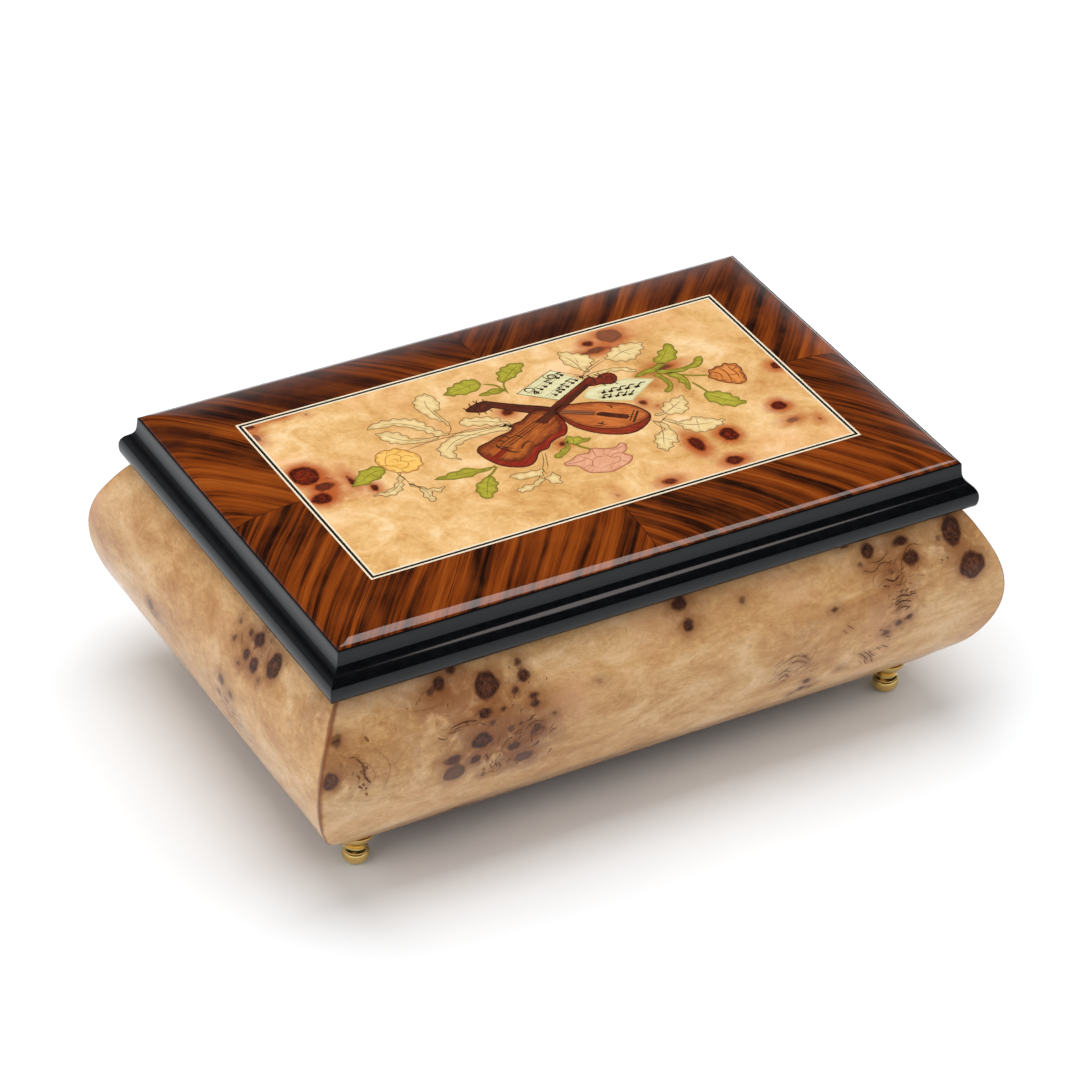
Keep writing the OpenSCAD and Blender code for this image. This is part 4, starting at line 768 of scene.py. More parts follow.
ds = np.unique(np.concatenate([np.linspace(RIM, 0.8, 4), np.linspace(0.8, 4, 12), np.linspace(4, 19.7, 16)]))
for sx, sy, nm in ((-1, -1, "front_left"), (1, -1, "front_right"), (-1, 1, "back_left"), (1, 1, "back_right")):
    V, F = [], []

    def leg(along_x, n):
        base = len(V)
        m = n + 1
        top = [(d, crown_z(d) - (0.05 if d == RIM else 0)) for d in ds]
        rows = top + [(d, crown_z(d) - 0.8) for d in ds[::-4]] + [(RIM, EDGE_Z - 0.8)]
        for d, z in rows:
            e = (HL if along_x else HW) - d
            o = (HW if along_x else HL) - d
            for t in np.linspace(0, 1, m):
                s = e * (1 - t)
                V.append((sx * s, sy * o, z) if along_x else (sx * o, sy * s, z))
        k = len(rows)
        for j in range(k):
            jj = (j + 1) % k
            for i in range(n):
                F.append((base + j * m + i, base + j * m + i + 1, base + jj * m + i + 1, base + jj * m + i))
        F.append([base + j * m + n for j in range(k)])
    leg(True, 60)
    leg(False, 40)
    ob = build("crossbanding_" + nm, V, F, ROSE, "lid", ("rosewood_" + nm,), sharp=45)
    bm = bmesh.new(); bm.from_mesh(ob.data)
    bmesh.ops.remove_doubles(bm, verts=bm.verts[:], dist=1e-6)
    bmesh.ops.recalc_face_normals(bm, faces=bm.faces)
    bm.to_mesh(ob.data); bm.free()
    ob.data.set_sharp_from_angle(angle=math.radians(45))

# ------------------------------------------------------------------ burl panel
def panel_extra(P):
    a = burl_fields(P, PANEL_KNOTS, [([(-65, 6), (-62.5, 4), (-62.8, 1.6)], .4, .6), ([(24.5, 31), (27, 29)], .2, .4)], PANEL_WARM)
    a["seam"] = np.full(len(P), 8.0)
    return a


TOP = PANEL_Z - 0.03
PX, PY = HL - 21.55, HW - 21.55
plate("burl_panel", [[(-PX, -PY), (PX, -PY), (PX, PY), (-PX, PY)]], PANEL_Z - 0.8, TOP, BURL_PANEL, "lid", ("center_panel",), grid=0.9, extra=panel_extra)

# ------------------------------------------------------------------ marquetry, in millimetres on the panel
Z1, Z2, Z3, Z4 = PANEL_Z - .012, PANEL_Z + .004, PANEL_Z + .018, PANEL_Z + .032
Z0 = PANEL_Z - 0.2
vb = loop([(-22.2, -1), (-21.5, -5), (-19.8, -8.6), (-17.5, -10.8), (-14.5, -12.3), (-11.8, -12.2), (-9.5, -10.4), (-7.4, -8), (-4.4, -7.5), (-2.6, -5.6), (0.4, -4.3), (3.2, -3.6), (5.2, -0.6), (5.8, 3), (5.6, 6.4), (3.6, 9.2), (0.6, 10), (-2.2, 8.6), (-4.6, 7.2), (-7.4, 6.8), (-8.8, 4.8), (-11, 3.9), (-14, 3.4), (-17.2, 2.2), (-20.6, 1.4)], 5)
vt = loop([(-22.1, -.9), (-20.9, -3.4), (-19.2, -6.4), (-16.6, -8.6), (-13.6, -9.4), (-10.8, -8.6), (-8.6, -6.6), (-6.6, -5.4), (-4.4, -4.9), (-2.6, -3.6), (-.2, -2.6), (2.4, -1.9), (4.4, .4), (5.1, 3.4), (5.0, 6.4), (3.4, 9.0), (0.6, 9.9), (-2.2, 8.5), (-4.6, 7.1), (-7.4, 6.7), (-8.8, 4.7), (-11, 3.8), (-14, 3.3), (-17.2, 2.1), (-20.5, 1.3)], 5)
vneck = curve([(4.6, 8.6), (8, 10.6), (14, 13.7), (20, 16.8), (22.4, 18)], 4) + curve([(22.4, 18), (23.4, 17.2), (24.4, 16.6), (25.6, 17.3), (27, 17.6), (28.6, 17.2), (29.5, 15.9), (29.3, 14.2), (28.2, 12.8), (26.6, 12.2), (25, 12.8), (23.6, 13.4), (21.6, 13.5), (20.2, 13.9)], 4)[1:] + [np.array(q, float) for q in [(14.4, 10.8), (9, 7.4), (5.2, 5.4)]]
mb2 = loop([(6.2, 7.6), (9, 8.6), (13, 7.9), (18, 6.3), (22, 4), (25.8, 1.2), (28, -3), (28.2, -6), (26, -8.6), (22.6, -10.6), (18.6, -11.1), (14, -9.2), (10, -6), (7.2, -2), (6, 2.6)], 5)
mtop = loop([(6.3, 7.5), (9, 8.5), (13, 7.8), (18, 6.2), (22, 3.9), (25.7, 1.1), (27.9, -3), (27.9, -5.8), (25.4, -7.2), (22, -7.9), (17.6, -7.7), (13.4, -5.8), (9.8, -2.6), (7.4, 1.4), (6.4, 4.8)], 5)
mneck = [(7, 8.6), (4, 11), (-2, 15), (-7.6, 19.3), (-8.6, 20.1), (-10.8, 20.1), (-13.4, 19.5), (-15.3, 18.4), (-15.3, 17.5), (-13.2, 16.2), (-11.4, 15.6), (-9.6, 16.0), (-8.2, 16.2), (-3, 11.6), (2, 7.6), (6, 6)]
pa = [(0.8, 19.4), (15, 25.7), (20.6, 17), (9.8, 11.3)]
pb = [(16, 9.6), (19, 12.6), (27, 13), (32, 12.6), (38.4, 9.2), (27.6, 2.6), (20, 6)]
LEAVES = [
    [(-17.4, 27.7), (-16.2, 27), (-15.2, 25.9), (-13.4, 26.1), (-12, 25.1), (-10.2, 25.6), (-8, 25.6), (-5.8, 27.6), (-5.6, 29.4), (-6.4, 31.2), (-7.6, 31.2), (-8.8, 32), (-10.4, 31.4), (-12, 31.5), (-13, 30.4), (-14.8, 30.4), (-15.4, 29)],
    [(0.1, 25.8), (-.6, 28), (.6, 29.2), (.6, 31), (2.2, 31.4), (3, 32.8), (4.8, 32.8), (6, 33.6), (8, 32.9), (9.7, 32.2), (9.2, 30.6), (8, 30), (7.6, 28.4), (5.8, 28.2), (4.6, 26.8), (2.6, 26.6)],
    [(-8.8, 23.1), (-7.6, 23.9), (-6, 23.9), (-4.6, 24.6), (-2.8, 24.2), (-0.8, 22.8), (-2.2, 22), (-4, 21.7), (-5.4, 22.2), (-7, 22.2)],
    [(-59.6, -.1), (-57.6, 1.6), (-57, 3.2), (-55.4, 3.9), (-54.6, 5.5), (-52.4, 5.3), (-50.6, 6), (-49, 5.2), (-48, 4), (-48.6, 1.8), (-50.2, .9), (-51, -.2), (-53.4, -.2), (-55, -1.2), (-57, -.6)],
    [(-38.6, -7), (-36.6, -6.3), (-35, -6.6), (-33.4, -5.7), (-31, -6.2), (-29, -5.6), (-27, -6.8), (-25.4, -8), (-22.6, -8.3), (-22.8, -9.4), (-25, -9.6), (-27.2, -9.4), (-29, -10.2), (-31.4, -9.6), (-33.6, -9.3), (-36, -8.2)],
    [(-30.4, -20.9), (-31.4, -19.4), (-30.9, -17.6), (-31.6, -16.6), (-30.4, -15.4), (-29.9, -13.8), (-28, -13.2), (-26.6, -12.2), (-24.6, -12), (-23.9, -13.4), (-24.4, -14.6), (-24, -16), (-25.4, -17), (-25.9, -19), (-27.8, -19.6), (-28.6, -21)],
    [(-5, -12.4), (-4.4, -11), (-2.8, -10.6), (-1.4, -9.4), (0, -9), (.8, -7.6), (2, -6.8), (1.2, -8.4), (1, -10), (-.6, -11.4), (-2.2, -12.2), (-3.6, -13)],
    [(1.0, -6.8), (1.9, -5.6), (3, -4.6), (4.2, -5.8), (5.8, -6.2), (6.4, -7.6), (8.2, -8.2), (6.9, -9.3), (5, -9.1), (3.4, -9.4), (2.2, -8.6)],
    [(42.4, 16.6), (43.4, 18.2), (45.2, 18.6), (45.8, 20.6), (47.8, 20.9), (49, 22.6), (50.4, 23), (51.4, 21.4), (50.8, 19.6), (51, 18), (49.6, 17), (49, 15.2), (46.8, 15), (44.4, 14.4)],
    [(33.8, 12.3), (36, 13.6), (38.6, 14.2), (41, 14.4), (43, 15.2), (44.6, 14.6), (43.6, 13.6), (41.4, 12.8), (39.6, 11.8), (37.4, 12.1), (35.6, 11.9)],
    [(41, 12.6), (44, 11.4), (47.6, 10.7), (50.6, 11), (52.4, 11.9), (53.4, 13.2), (55.4, 13.3), (55.2, 11.6), (54, 10), (51.8, 8.9), (49.4, 9.3), (47.4, 8.6), (45.4, 9.2), (42.8, 9.8), (40.6, 10.8)],
    [(40.6, 10.8), (41.4, 8), (41.6, 5.6), (40.6, 3), (38.8, 1.7), (37.6, 2), (38, 3), (39.8, 4.2), (40, 6.4), (39.8, 8.6), (38.8, 10.6)],
    [(42.4, 10.2), (44.8, 9.4), (46.2, 7), (46.2, 4.2), (45.4, 1.8), (44.4, .1), (43.8, 1.2), (44.3, 3.6), (43.2, 4.6), (44, 6.2), (42.6, 8.2)],
    [(46.4, -3.6), (47.8, -2.9), (49.4, -3.6), (51, -3.7), (51.6, -5.2), (53.2, -6.2), (53, -8), (54.3, -8.8), (53.9, -10.4), (55.2, -11.2), (54.4, -12.5), (52.6, -12.2), (50.8, -12.7), (49.6, -11.2), (47.8, -10.4), (47.4, -8.4), (45.9, -7.4)]]
def lobed(p, amp, seed):
    """Adds the small lobes of an acanthus edge to a smooth outline."""
    c = np.array(loop(p, 8))
    g = np.roll(c, -1, 0) - np.roll(c, 1, 0)
    g /= np.maximum(np.linalg.norm(g, axis=1), 1e-9)[:, None]
    s = np.cumsum(np.linalg.norm(np.roll(c, -1, 0) - c, axis=1))
    nr = np.stack([-g[:, 1], g[:, 0]], 1)
    k = max(3, round(s[-1] / 2.9))
    return [tuple(q) for q in c + nr * (amp * np.abs(np.sin(math.pi * k * s / s[-1] + seed)) - amp * .5)[:, None]]


LEAVES = [loop(p, 3) for p in LEAVES]
yr = lobed([(-48.5, 7.4), (-47, 10), (-44.6, 11), (-41, 10.5), (-39, 8.6), (-37.4, 6), (-37.5, 2), (-39, 0.2), (-42, -0.9), (-45, 0), (-47, 2), (-48, 4.5)], .8, .4)[::2]
orr = lobed([(52.2, 3), (54, 6), (56.6, 6.6), (59.4, 7), (62, 5.6), (62.3, 3.4), (61.5, 0.6), (61, -2), (58.6, -3.6), (56, -2), (54, 0)], .7, .9)[::2]
pf = loop([(-4, -15.5), (-1.4, -15), (1, -13.7), (4, -14.1), (6, -12.6), (9, -14.3), (12, -15), (14, -13.8), (15.2, -15.2), (14, -17.4), (12.6, -18.6), (14, -20.6), (12, -23), (9, -23.9), (6, -24.8), (3, -24), (0, -22.6), (-1, -20.2), (-1.6, -18.4), (-4, -17)], 4)
plate("violin_ribs", [vb], Z0, Z2, VRIB, "lid", ("violin_inlay",), grid=.8)
plate("violin_belly", [vt], Z0, Z3, VTOP, "lid", grid=.7)
plate("violin_neck", [vneck], Z0, Z3 + .004, VNECK, "lid", grid=.8)
plate("mandolin_bowl", [mb2], Z0, Z1, MBOWL, "lid", ("mandolin_inlay",), grid=.8)
plate("mandolin_belly", [mtop], Z0, Z1 + .008, MTOP, "lid", grid=.7)
plate("mandolin_neck", [mneck], Z0, Z2 - .004, NECK, "lid", grid=.8)
plate("music_pages", [pa, pb], Z0, Z1 - .004, PALE, "lid", ("sheet_music_inlay",), grid=1.0)
plate("olive_leaves", LEAVES, Z0, Z1 - .002, OLIVE, "lid", ("leaf_inlay",), grid=.7)
plate("rose_yellow", [yr], Z0, Z1, YROSE, "lid", ("flower_inlay",), grid=.6)
plate("rose_orange", [orr], Z0, Z1, OROSE, "lid", grid=.6)
plate("flower_pink", [pf], Z0, Z1, PFLOW, "lid", grid=.7)

ACANTHUS = [
    [(-24, 16.5), (-26, 21), (-27, 25), (-26.3, 28), (-24, 30), (-21.5, 30.3), (-20.3, 27), (-20.5, 24.5), (-22, 22), (-23.5, 21), (-22.5, 14)],
    [(-43.3, 22), (-40, 23.7), (-36, 23.5), (-32, 22), (-29.5, 20), (-28, 16), (-26.5, 12.5), (-25, 10.5), (-27.8, 10.8), (-29, 12.5), (-31, 15.5), (-34, 19), (-38, 21)],
    [(-42, 19), (-39, 18.3), (-37, 17), (-35.8, 14.5), (-34.4, 12.3), (-30, 10.9), (-28, 10.2), (-34, 10.4), (-38, 11.8), (-40.6, 13.5), (-42, 16)],
    [(-28.5, 7.5), (-31, 5.5), (-31.5, 3), (-30.8, .5), (-28.5, -1.5), (-27.7, -1.2), (-28, 1), (-26, 4), (-22, 5.3), (-15, 5.5), (-9, 5.2), (-8, 7.2), (-15, 8.6), (-22, 9.6)],
    [(-18.8, 15), (-15, 14.2), (-12, 13), (-10, 11.5), (-8.8, 9), (-7.3, 7), (-8.6, 6.2), (-12, 8.6), (-16, 10.6), (-19.4, 12)],
    [(-46, -.3), (-47.5, -3), (-50, -5), (-53, -5.8), (-56.3, -6), (-55, -7.2), (-52.5, -8.5), (-50, -8.3), (-48, -7), (-46.4, -4.2), (-45, -.6)],
    [(-45.6, -5.6), (-44, -9.5), (-44.7, -12), (-44.3, -14.8), (-42.8, -16), (-42, -13), (-42, -11.5), (-40, -12.5), (-37.8, -11.7), (-38.5, -10.8), (-41.5, -10), (-44.2, -7)],
    [(-19.3, -14.5), (-14, -15), (-11, -15.7), (-12, -17.7), (-17, -17.3), (-19.3, -16)],
    [(-13, -18.2), (-16, -20), (-20, -20.2), (-21.6, -21.5), (-20, -22.8), (-16, -22), (-12.5, -20)],
    [(-12, -19.8), (-11.5, -22.5), (-9.5, -23.5), (-8.5, -22), (-8.5, -18)],
    [(20.8, 31.5), (22, 32.3), (24, 30.5), (25.5, 29.5), (27.5, 27.5), (27.8, 25), (26, 23), (24.3, 22.3), (23.5, 20), (22, 23.5), (20.2, 26), (20.3, 30)],
    [(31.5, 24), (34, 26.5), (36, 27.5), (38, 28), (41, 27.8), (44, 26.3), (43.5, 24.5), (41.5, 22.5), (38, 20.3), (35, 20.8), (33, 22)],
    [(20.5, 18), (24, 19), (28, 19), (32, 18.3), (35, 16.5), (35.5, 15.5), (34.8, 15), (31, 17.3), (27, 18)],
    [(29, -6.5), (32, -6), (33, -4), (35, -2.5), (38, -1.8), (40.3, -1.6), (40.5, -4), (39.5, -6), (38.5, -8), (36, -8.8), (32.5, -7.5)],
    [(30, -9), (33, -11.8), (36, -12.5), (38.8, -12), (40.3, -13.5), (43, -15.5), (44.8, -16.8), (42.5, -18.5), (38, -19.2), (35.5, -18.5), (33.5, -16), (32.8, -14)],
    [(28, -13.3), (25.5, -14.3), (23.5, -16), (22.5, -18.5), (22, -20.5), (23.5, -22.8), (25.5, -22), (27, -20.5), (28.8, -20), (30, -16), (29.7, -11), (27.4, -8.4)]]


ALOBE = [lobed(p, .95, i * .7) for i, p in enumerate(ACANTHUS)]
plate("acanthus_leaves", ALOBE, Z0, Z1 - .009, ACAN, "lid", grid=.8)
VEINS = [[(-23.3, 15), (-23.8, 20), (-24, 25), (-23, 28)], [(-27, 12), (-31, 17.5), (-35, 21), (-40, 22.6)], [(-29, 10.8), (-35, 11.8), (-38.6, 14.6), (-40.8, 18)], [(-10, 7), (-18, 7.4), (-25, 6.6), (-29.6, 3.4)],
         [(-9, 8.4), (-13, 11.4), (-17.6, 13.4)], [(-47, -4), (-50.4, -6.4), (-54, -6.6)], [(-44, -7.6), (-43, -11), (-43.4, -14)], [(22.6, 22), (22.6, 26), (21.6, 30)], [(33, 23.2), (37, 24.8), (42, 25.2)],
         [(31.6, -7), (35.4, -5.4), (39.2, -3.4)], [(31.6, -11.4), (36, -15), (42, -16.6)], [(28.6, -10), (26.8, -15), (24, -20.4)], [(24, 28), (23, 24)], [(36.6, 26.4), (37.4, 24.8)], [(38.6, 22), (37.4, 24.8)], [(36.2, -3.6), (35.6, -5.4)], [(37.4, -7.2), (35.8, -5.5)],
         [(38.4, -13), (37.4, -15.6)], [(36.6, -17.8), (37.4, -15.6)], [(24.2, -16.6), (26, -17)], [(27.6, -19.2), (25.8, -17.2)]]
STEMS = [[(-40, 8), (-36, 9), (-30, 9.3), (-25, 9), (-20, 7.5), (-17, 6.2)], [(-26, 10.6), (-22, 9.6), (-15, 8.2), (-8, 7)], [(-46, -.3), (-45.4, -3), (-45.2, -6)], [(-7, -8.5), (-8.3, -12), (-10.5, -15.5), (-10.6, -18.4)],
         [(-6.2, -8.8), (-7.4, -12), (-9.2, -16)], [(20.4, 17.4), (22, 19.6), (26, 21.6), (31.8, 23.8)], [(20.8, 19.2), (25, 22), (31.4, 24.6)], [(26.8, -7.4), (28.4, -10), (30, -9.4), (33, -7.6)], [(-22.6, 14.2), (-23.4, 12), (-25, 10.4)]]
OL = []
for p in ALOBE:
    OL.append((p[::3] + [p[0]], .2, 0))
for p in VEINS:
    OL.append((p, .19, 1))
for p in STEMS:
    OL.append((p, .24, 1))
ribbons("acanthus_outlines", OL, Z0 + .1, Z1 + .004, BROWN, "lid")
GST = [([(-5.5, 28), (-3.4, 26.6), (-2, 25), (-1, 20.5)], .75, 1), ([(1, 26.5), (-.4, 24.4), (-1, 21)], .6, 1), ([(-2.8, 23.2), (-1.4, 22.4)], .7, 0), ([(-25, -12), (-23, -10.8), (-21, -9)], .8, 0), ([(46.6, 3), (47.4, 0), (48, -3)], .75, 0), ([(46, 7.6), (49, 5.6), (52.4, 4.2)], .75, 0),
       ([(3, -9), (4, -11), (5.4, -12.8)], .9, 0), ([(-22.6, -8.8), (-21, -8.4)], .7, 0)]
ribbons("olive_stems", [(p, w, t) for p, w, t in GST], Z0, Z1 - .001, OLIVE, "lid")
LV = [[(-16.8, 27.8), (-12, 28.2), (-8, 28.8), (-5.4, 28.2)], [(-11.6, 28.2), (-12.4, 30)], [(-9, 28.6), (-9.4, 26.8)], [(.4, 26.4), (3.6, 28.8), (6.4, 30.8), (9, 32)], [(3.4, 28.6), (3, 31)], [(5.6, 30), (7, 29.2)], [(-8.2, 23.2), (-4.4, 23.2), (-1, 22.6)],
      [(-59, .2), (-55.4, 1.4), (-52, 3.2), (-48.4, 3.4)], [(-54.6, 1.8), (-54.6, 4)], [(-52.4, 3), (-51.6, 1.2)], [(-38, -7.2), (-32, -7.8), (-26, -8.6), (-22.8, -8.8)], [(-32.4, -7.7), (-31.4, -6.6)], [(-29.8, -20.4), (-28, -16.6), (-26, -13.6), (-24.2, -12)], [(-28, -16.6), (-29.6, -16)], [(-27.4, -15.6), (-26, -16.4)],
      [(-4.4, -12.4), (-1.4, -10.8), (1.6, -7.6)], [(2.6, -8.8), (3.6, -7), (3.4, -5.4)], [(3.4, -7.8), (6.8, -8.2)], [(43.4, 15.6), (46.4, 18), (50, 21.8)], [(46.2, 17.8), (46.2, 19.6)], [(47.4, 19), (49, 18.2)], [(35, 12.6), (40, 13), (44, 14.4)], [(42.4, 11.4), (48.6, 9.9), (54, 12)],
      [(40, 9.8), (40.8, 6.4), (39, 2.8)], [(44.4, 8), (45.2, 5), (44.6, 1.4)], [(47.6, -4), (49.6, -7.4), (53.8, -11.8)], [(49, -6.4), (51.4, -6)], [(50.6, -8.8), (48.8, -9.2)]]
ribbons("leaf_veins", [(p, .17, 1) for p in LV] + [(list(map(tuple, p[::2])) + [tuple(p[0])], .15, 0) for p in LEAVES], Z0 + .1, Z1 + .005, veneer("olive_scorch", (86, 84, 18), (98, 96, 24), (114, 108, 32), (0, 0, 0), has_rim=False, scale=2.0), "lid")
FL = [([(-46.5, 6), (-45, 8.2), (-42.6, 8.4), (-41.4, 6.6), (-42.4, 5), (-41, 3.6), (-42, 1.8), (-44.2, 1.6), (-45, 3.4), (-46.6, 4.4), (-46.5, 6)], .2, 0), ([(-42.6, 8.4), (-40.4, 8.8)], .18, 1), ([(-41, 3.6), (-38.6, 3.4)], .18, 1), ([(-41.4, 6.6), (-39.4, 6.2), (-38.4, 4.6)], .18, 1), ([(-44.2, 1.6), (-43.8, -.2)], .18, 1), ([(-46.6, 4.4), (-48, 5.2)], .18, 1),
      ([(-43.6, 10.6), (-44.8, 8.6)], .16, 1), ([(-44, 6.8), (-43, 5.6), (-43.6, 4.2)], .16, 1)]
ribbons("rose_yellow_petals", FL + [([tuple(q) for q in yr[::2]] + [tuple(yr[0])], .22, 0)], Z0 + .1, Z2, veneer("yellow_scorch", (150, 88, 30), (166, 102, 38), (180, 116, 48), (0, 0, 0), has_rim=False, scale=2.0), "lid")
FO = [([(54, 5.4), (55.6, 3.2), (55.2, .8)], .3, 1), ([(56.8, 6.4), (57.6, 3.6), (57.2, 0), (56.6, -1.8)], .3, 1), ([(59.6, 6.8), (59.6, 4), (60, 1.6), (59.4, -1.6)], .28, 1), ([(61.8, 4.6), (60.4, 3.6), (59.7, 3.8)], .22, 1), ([(57.4, 2), (59, 1.2), (60, 1.6)], .22, 1), ([(53.2, 3.4), (54.6, 2.4)], .3, 1)]
ribbons("rose_orange_petals", FO + [([tuple(q) for q in orr[::2]] + [tuple(orr[0])], .2, 0)], Z0 + .1, Z2, veneer("orange_scorch", (92, 38, 14), (110, 50, 20), (128, 62, 26), (0, 0, 0), has_rim=False, scale=2.0), "lid")
FP = [([(1, -13.9), (2.2, -16), (3.2, -17.8), (2.2, -20.2), (3.4, -22)], .22, 1), ([(6, -12.8), (5.4, -15), (5.2, -17)], .22, 1), ([(9, -14.4), (7.8, -16.6), (8.8, -18.8), (10.6, -19.6), (9.6, -21.4), (6.6, -21.6), (3.4, -22)], .22, 1), ([(3.2, -17.8), (5.2, -17), (7.6, -17.6)], .2, 1), ([(-3.4, -16.2), (-.6, -16.8), (1.8, -16.6)], .22, 1), ([(12.6, -18.4), (10.6, -17.6), (8.8, -18.2)], .22, 1),
      ([(-.6, -20), (1.2, -19.4), (2.4, -20)], .2, 1), ([(0, -22.4), (2, -21.4)], .2, 1), ([(6, -24.6), (6.2, -22.4)], .2, 1), ([(11.8, -22.8), (10.2, -21.2)], .2, 1), ([(14.8, -15.2), (12, -16), (10, -15.6)], .2, 1)]
ribbons("flower_pink_petals", FP + [([tuple(q) for q in pf[::2]] + [tuple(pf[0])], .2, 0)], Z0 + .1, Z2, veneer("pink_scorch", (150, 84, 56), (164, 96, 66), (178, 108, 76), (0, 0, 0), has_rim=False, scale=2.0), "lid")

# dark cut lines of the instruments, the strings and frets, and made-up notes on the pages
u1 = np.array([20.0, 13.6]); u1 /= np.linalg.norm(u1)
IK = [([tuple(q) for q in vb[::3]] + [tuple(vb[0])], .3, 0), ([tuple(q) for q in mb2[::3]] + [tuple(mb2[0])], .3, 0), ([tuple(q) for q in mtop[::3]] + [tuple(mtop[0])], .24, 0), (mneck[:7] + mneck[7:], .26, 0), ([tuple(q) for q in vneck[::2]], .24, 0)]
for k in (-.72, 0, .72):
    IK.append(([(-14.6 - k * .7, -1.4 + k * 1.3), (5.2 - k * .5, 7.4 + k * .7)], .26, 0))
for k in (-.4, 0, .4):
    IK.append(([(5.2 - k * .5, 7.4 + k * .8), (23 - k * .5, 15.6 + k * .7)], .2, 0))
IK += [([(-15.6, 1.2), (-16.2, -.8), (-15, -3), (-13.2, -5.2), (-11.2, -5.6)], .55, 1), ([(-15, 1.6), (-13.8, 1.1), (-13.4, .2)], .46, 1), ([(-14.4, 3), (-13.2, 3.4), (-12, 2.8), (-11.4, 1.6), (-9.8, 1.2)], .42, 1), ([(-10.9, -5.2), (-10, -3.6), (-8.8, -2.6), (-7.4, -2.2), (-6.6, -2.8)], .42, 1),
       ([(-9.6, 2.2), (-8.6, 1), (-8, -.6)], .46, 1), ([(-16.2, -.4), (-12.6, -3.6)], .5, 1)]
for t in (.15, .4, .62, .82):
    c = np.array([7, 9.6]) * (1 - t) + np.array([21, 16.2]) * t
    IK.append(([tuple(c + np.array([-.55, .95])), tuple(c + np.array([.55, -.95]))], .12, 0))
IK += [([(22.4, -6.8), (24.4, -4.6), (26.2, -2.6)], .6, 0), ([(21.8, -5.9), (23.8, -3.6), (25.4, -1.9)], .3, 0), ([(20, 3.4), (20.8, 2.6), (20.4, 1.6)], .45, 1), ([(13.4, -2.8), (14.4, -3.6), (15, -3)], .6, 1), ([(12, -3.4), (13.4, -4.2), (15.6, -4.4)], .3, 1)]
for k in (-.35, .35):
    IK.append(([(6.4 + k * .6, 6.4 + k), (24.4 + k, -4.4 + k * .8)], .17, 0))
for a, b in (((-11.2, 19.6), (-11.6, 21.6)), ((-9.2, 19.4), (-8.8, 21.2)), ((-12.9, 16.4), (-13.1, 14.8)), ((-11.2, 15.8), (-11.2, 14.3)), ((-9.6, 16.2), (-9.2, 14.8))):
    IK.append(([a, b], .26, 0))
for a, b in (((23.2, 16.8), (22.6, 18.8)), ((25.8, 16.8), (25.6, 18.8)), ((24.2, 13.6), (24.6, 12)), ((27.4, 12.8), (28, 11.4))):
    IK.append(([a, b], .3, 0))
IK += [([(26, 14.6), (26.8, 15.8), (28, 15.6), (28.2, 14.4), (27.2, 14)], .34, 0), ([(22.6, 17.6), (23.2, 15.8), (22.4, 13.9)], .4, 0), ([(24.6, 18.4), (25.4, 16.2), (25.2, 14.6)], .3, 0),
       ([(-8.4, 19.8), (-8.9, 18.2), (-8.4, 16.6)], .36, 0), ([(-10.6, 21.4), (-11.2, 19.6), (-11.6, 17.4)], .34, 0), ([(-13.2, 20.9), (-13.4, 19.0), (-13.0, 17.0)], .34, 0), ([(-15.6, 19.6), (-14.9, 18.2), (-14.2, 16.9)], .34, 0), ([(-8, 18.2), (-3, 14.2), (2, 10.4), (5.6, 8.2)], .2, 0)]
ribbons("instrument_lines", IK, Z0 + .1, Z4, INK, "lid")
plate("violin_tailpiece", [[(-20.7, -6.8), (-21.3, -5.4), (-18, -3.6), (-14.6, -1.5), (-13.9, -3.2), (-17.2, -5.2)]], Z0, Z3 + .008, VRIB, "lid", grid=.8)
plate("violin_fingerboard", [[(-1.6, 4.9), (.2, 3.4), (1.2, 3), (6.4, 6.6), (14.6, 11.2), (20.6, 14.4), (20.2, 15.6), (13.6, 12.6), (5.4, 8.6)]], Z0, Z3 + .009, veneer("violin_board", (76, 24, 8), (96, 32, 12), (118, 44, 18), (44, 14, 6), .5, .5, rot=-.5), "lid", grid=.8)
plate("mandolin_soundhole", [loop([(15.2, .6), (16, 1.4), (17.4, 1.2), (20, -.8), (22.4, -2.6), (22.8, -3.8), (21.8, -4.6), (20.4, -3.8), (17.6, -1.6)], 3)], Z0, Z1 + .012, NECK, "lid", grid=.8)
plate("mandolin_fretboard", [[(5.4, 6.2), (6.9, 8.1), (15.8, 2.4), (14.5, .8)]], Z0, Z1 + .010, veneer("mandolin_board", (120, 66, 40), (140, 82, 52), (158, 98, 64), (80, 40, 22), .5, .4, rot=.6), "lid", grid=.8)
r = random.Random(5)
NT = []
pA = np.array(pa, float)
ea, eb = pA[1] - pA[0], pA[3] - pA[0]


def page_a(u, v):
    return tuple(pA[0] + ea * u + eb * v)


for v in (.2, .28, .36, .62, .70, .78):
    NT.append(([page_a(.06, v), page_a(.95, v)], .09, 0))
for v0 in (.36, .78):
    for i, uu in enumerate(np.linspace(.16, .9, 7)):
        if i == 4 and v0 < .5:
            continue
        h = r.uniform(.1, .2); w = uu + r.uniform(-.02, .02)
        NT.append(([page_a(w, v0), page_a(w + .01, v0 - h)], .34, 0))
        NT.append(([page_a(w - .045, v0 + .02), page_a(w + .025, v0 - .025)], .95, 0))
        if r.random() < .5:
            NT.append(([page_a(w + .01, v0 - h), page_a(w + .09, v0 - h + .05)], .5, 0))
NT.append(([page_a(.62, .3), page_a(.7, .2), page_a(.78, .1), page_a(.84, .2), page_a(.76, .3), page_a(.68, .22), page_a(.7, .08), page_a(.78, -.02)], .5, 1))
NT.append(([page_a(.2, .3), page_a(.12, .2), page_a(.14, .08), page_a(.22, .04), page_a(.27, .14), page_a(.2, .26), page_a(.1, .34), page_a(.13, .44), page_a(.22, .42)], .42, 1))
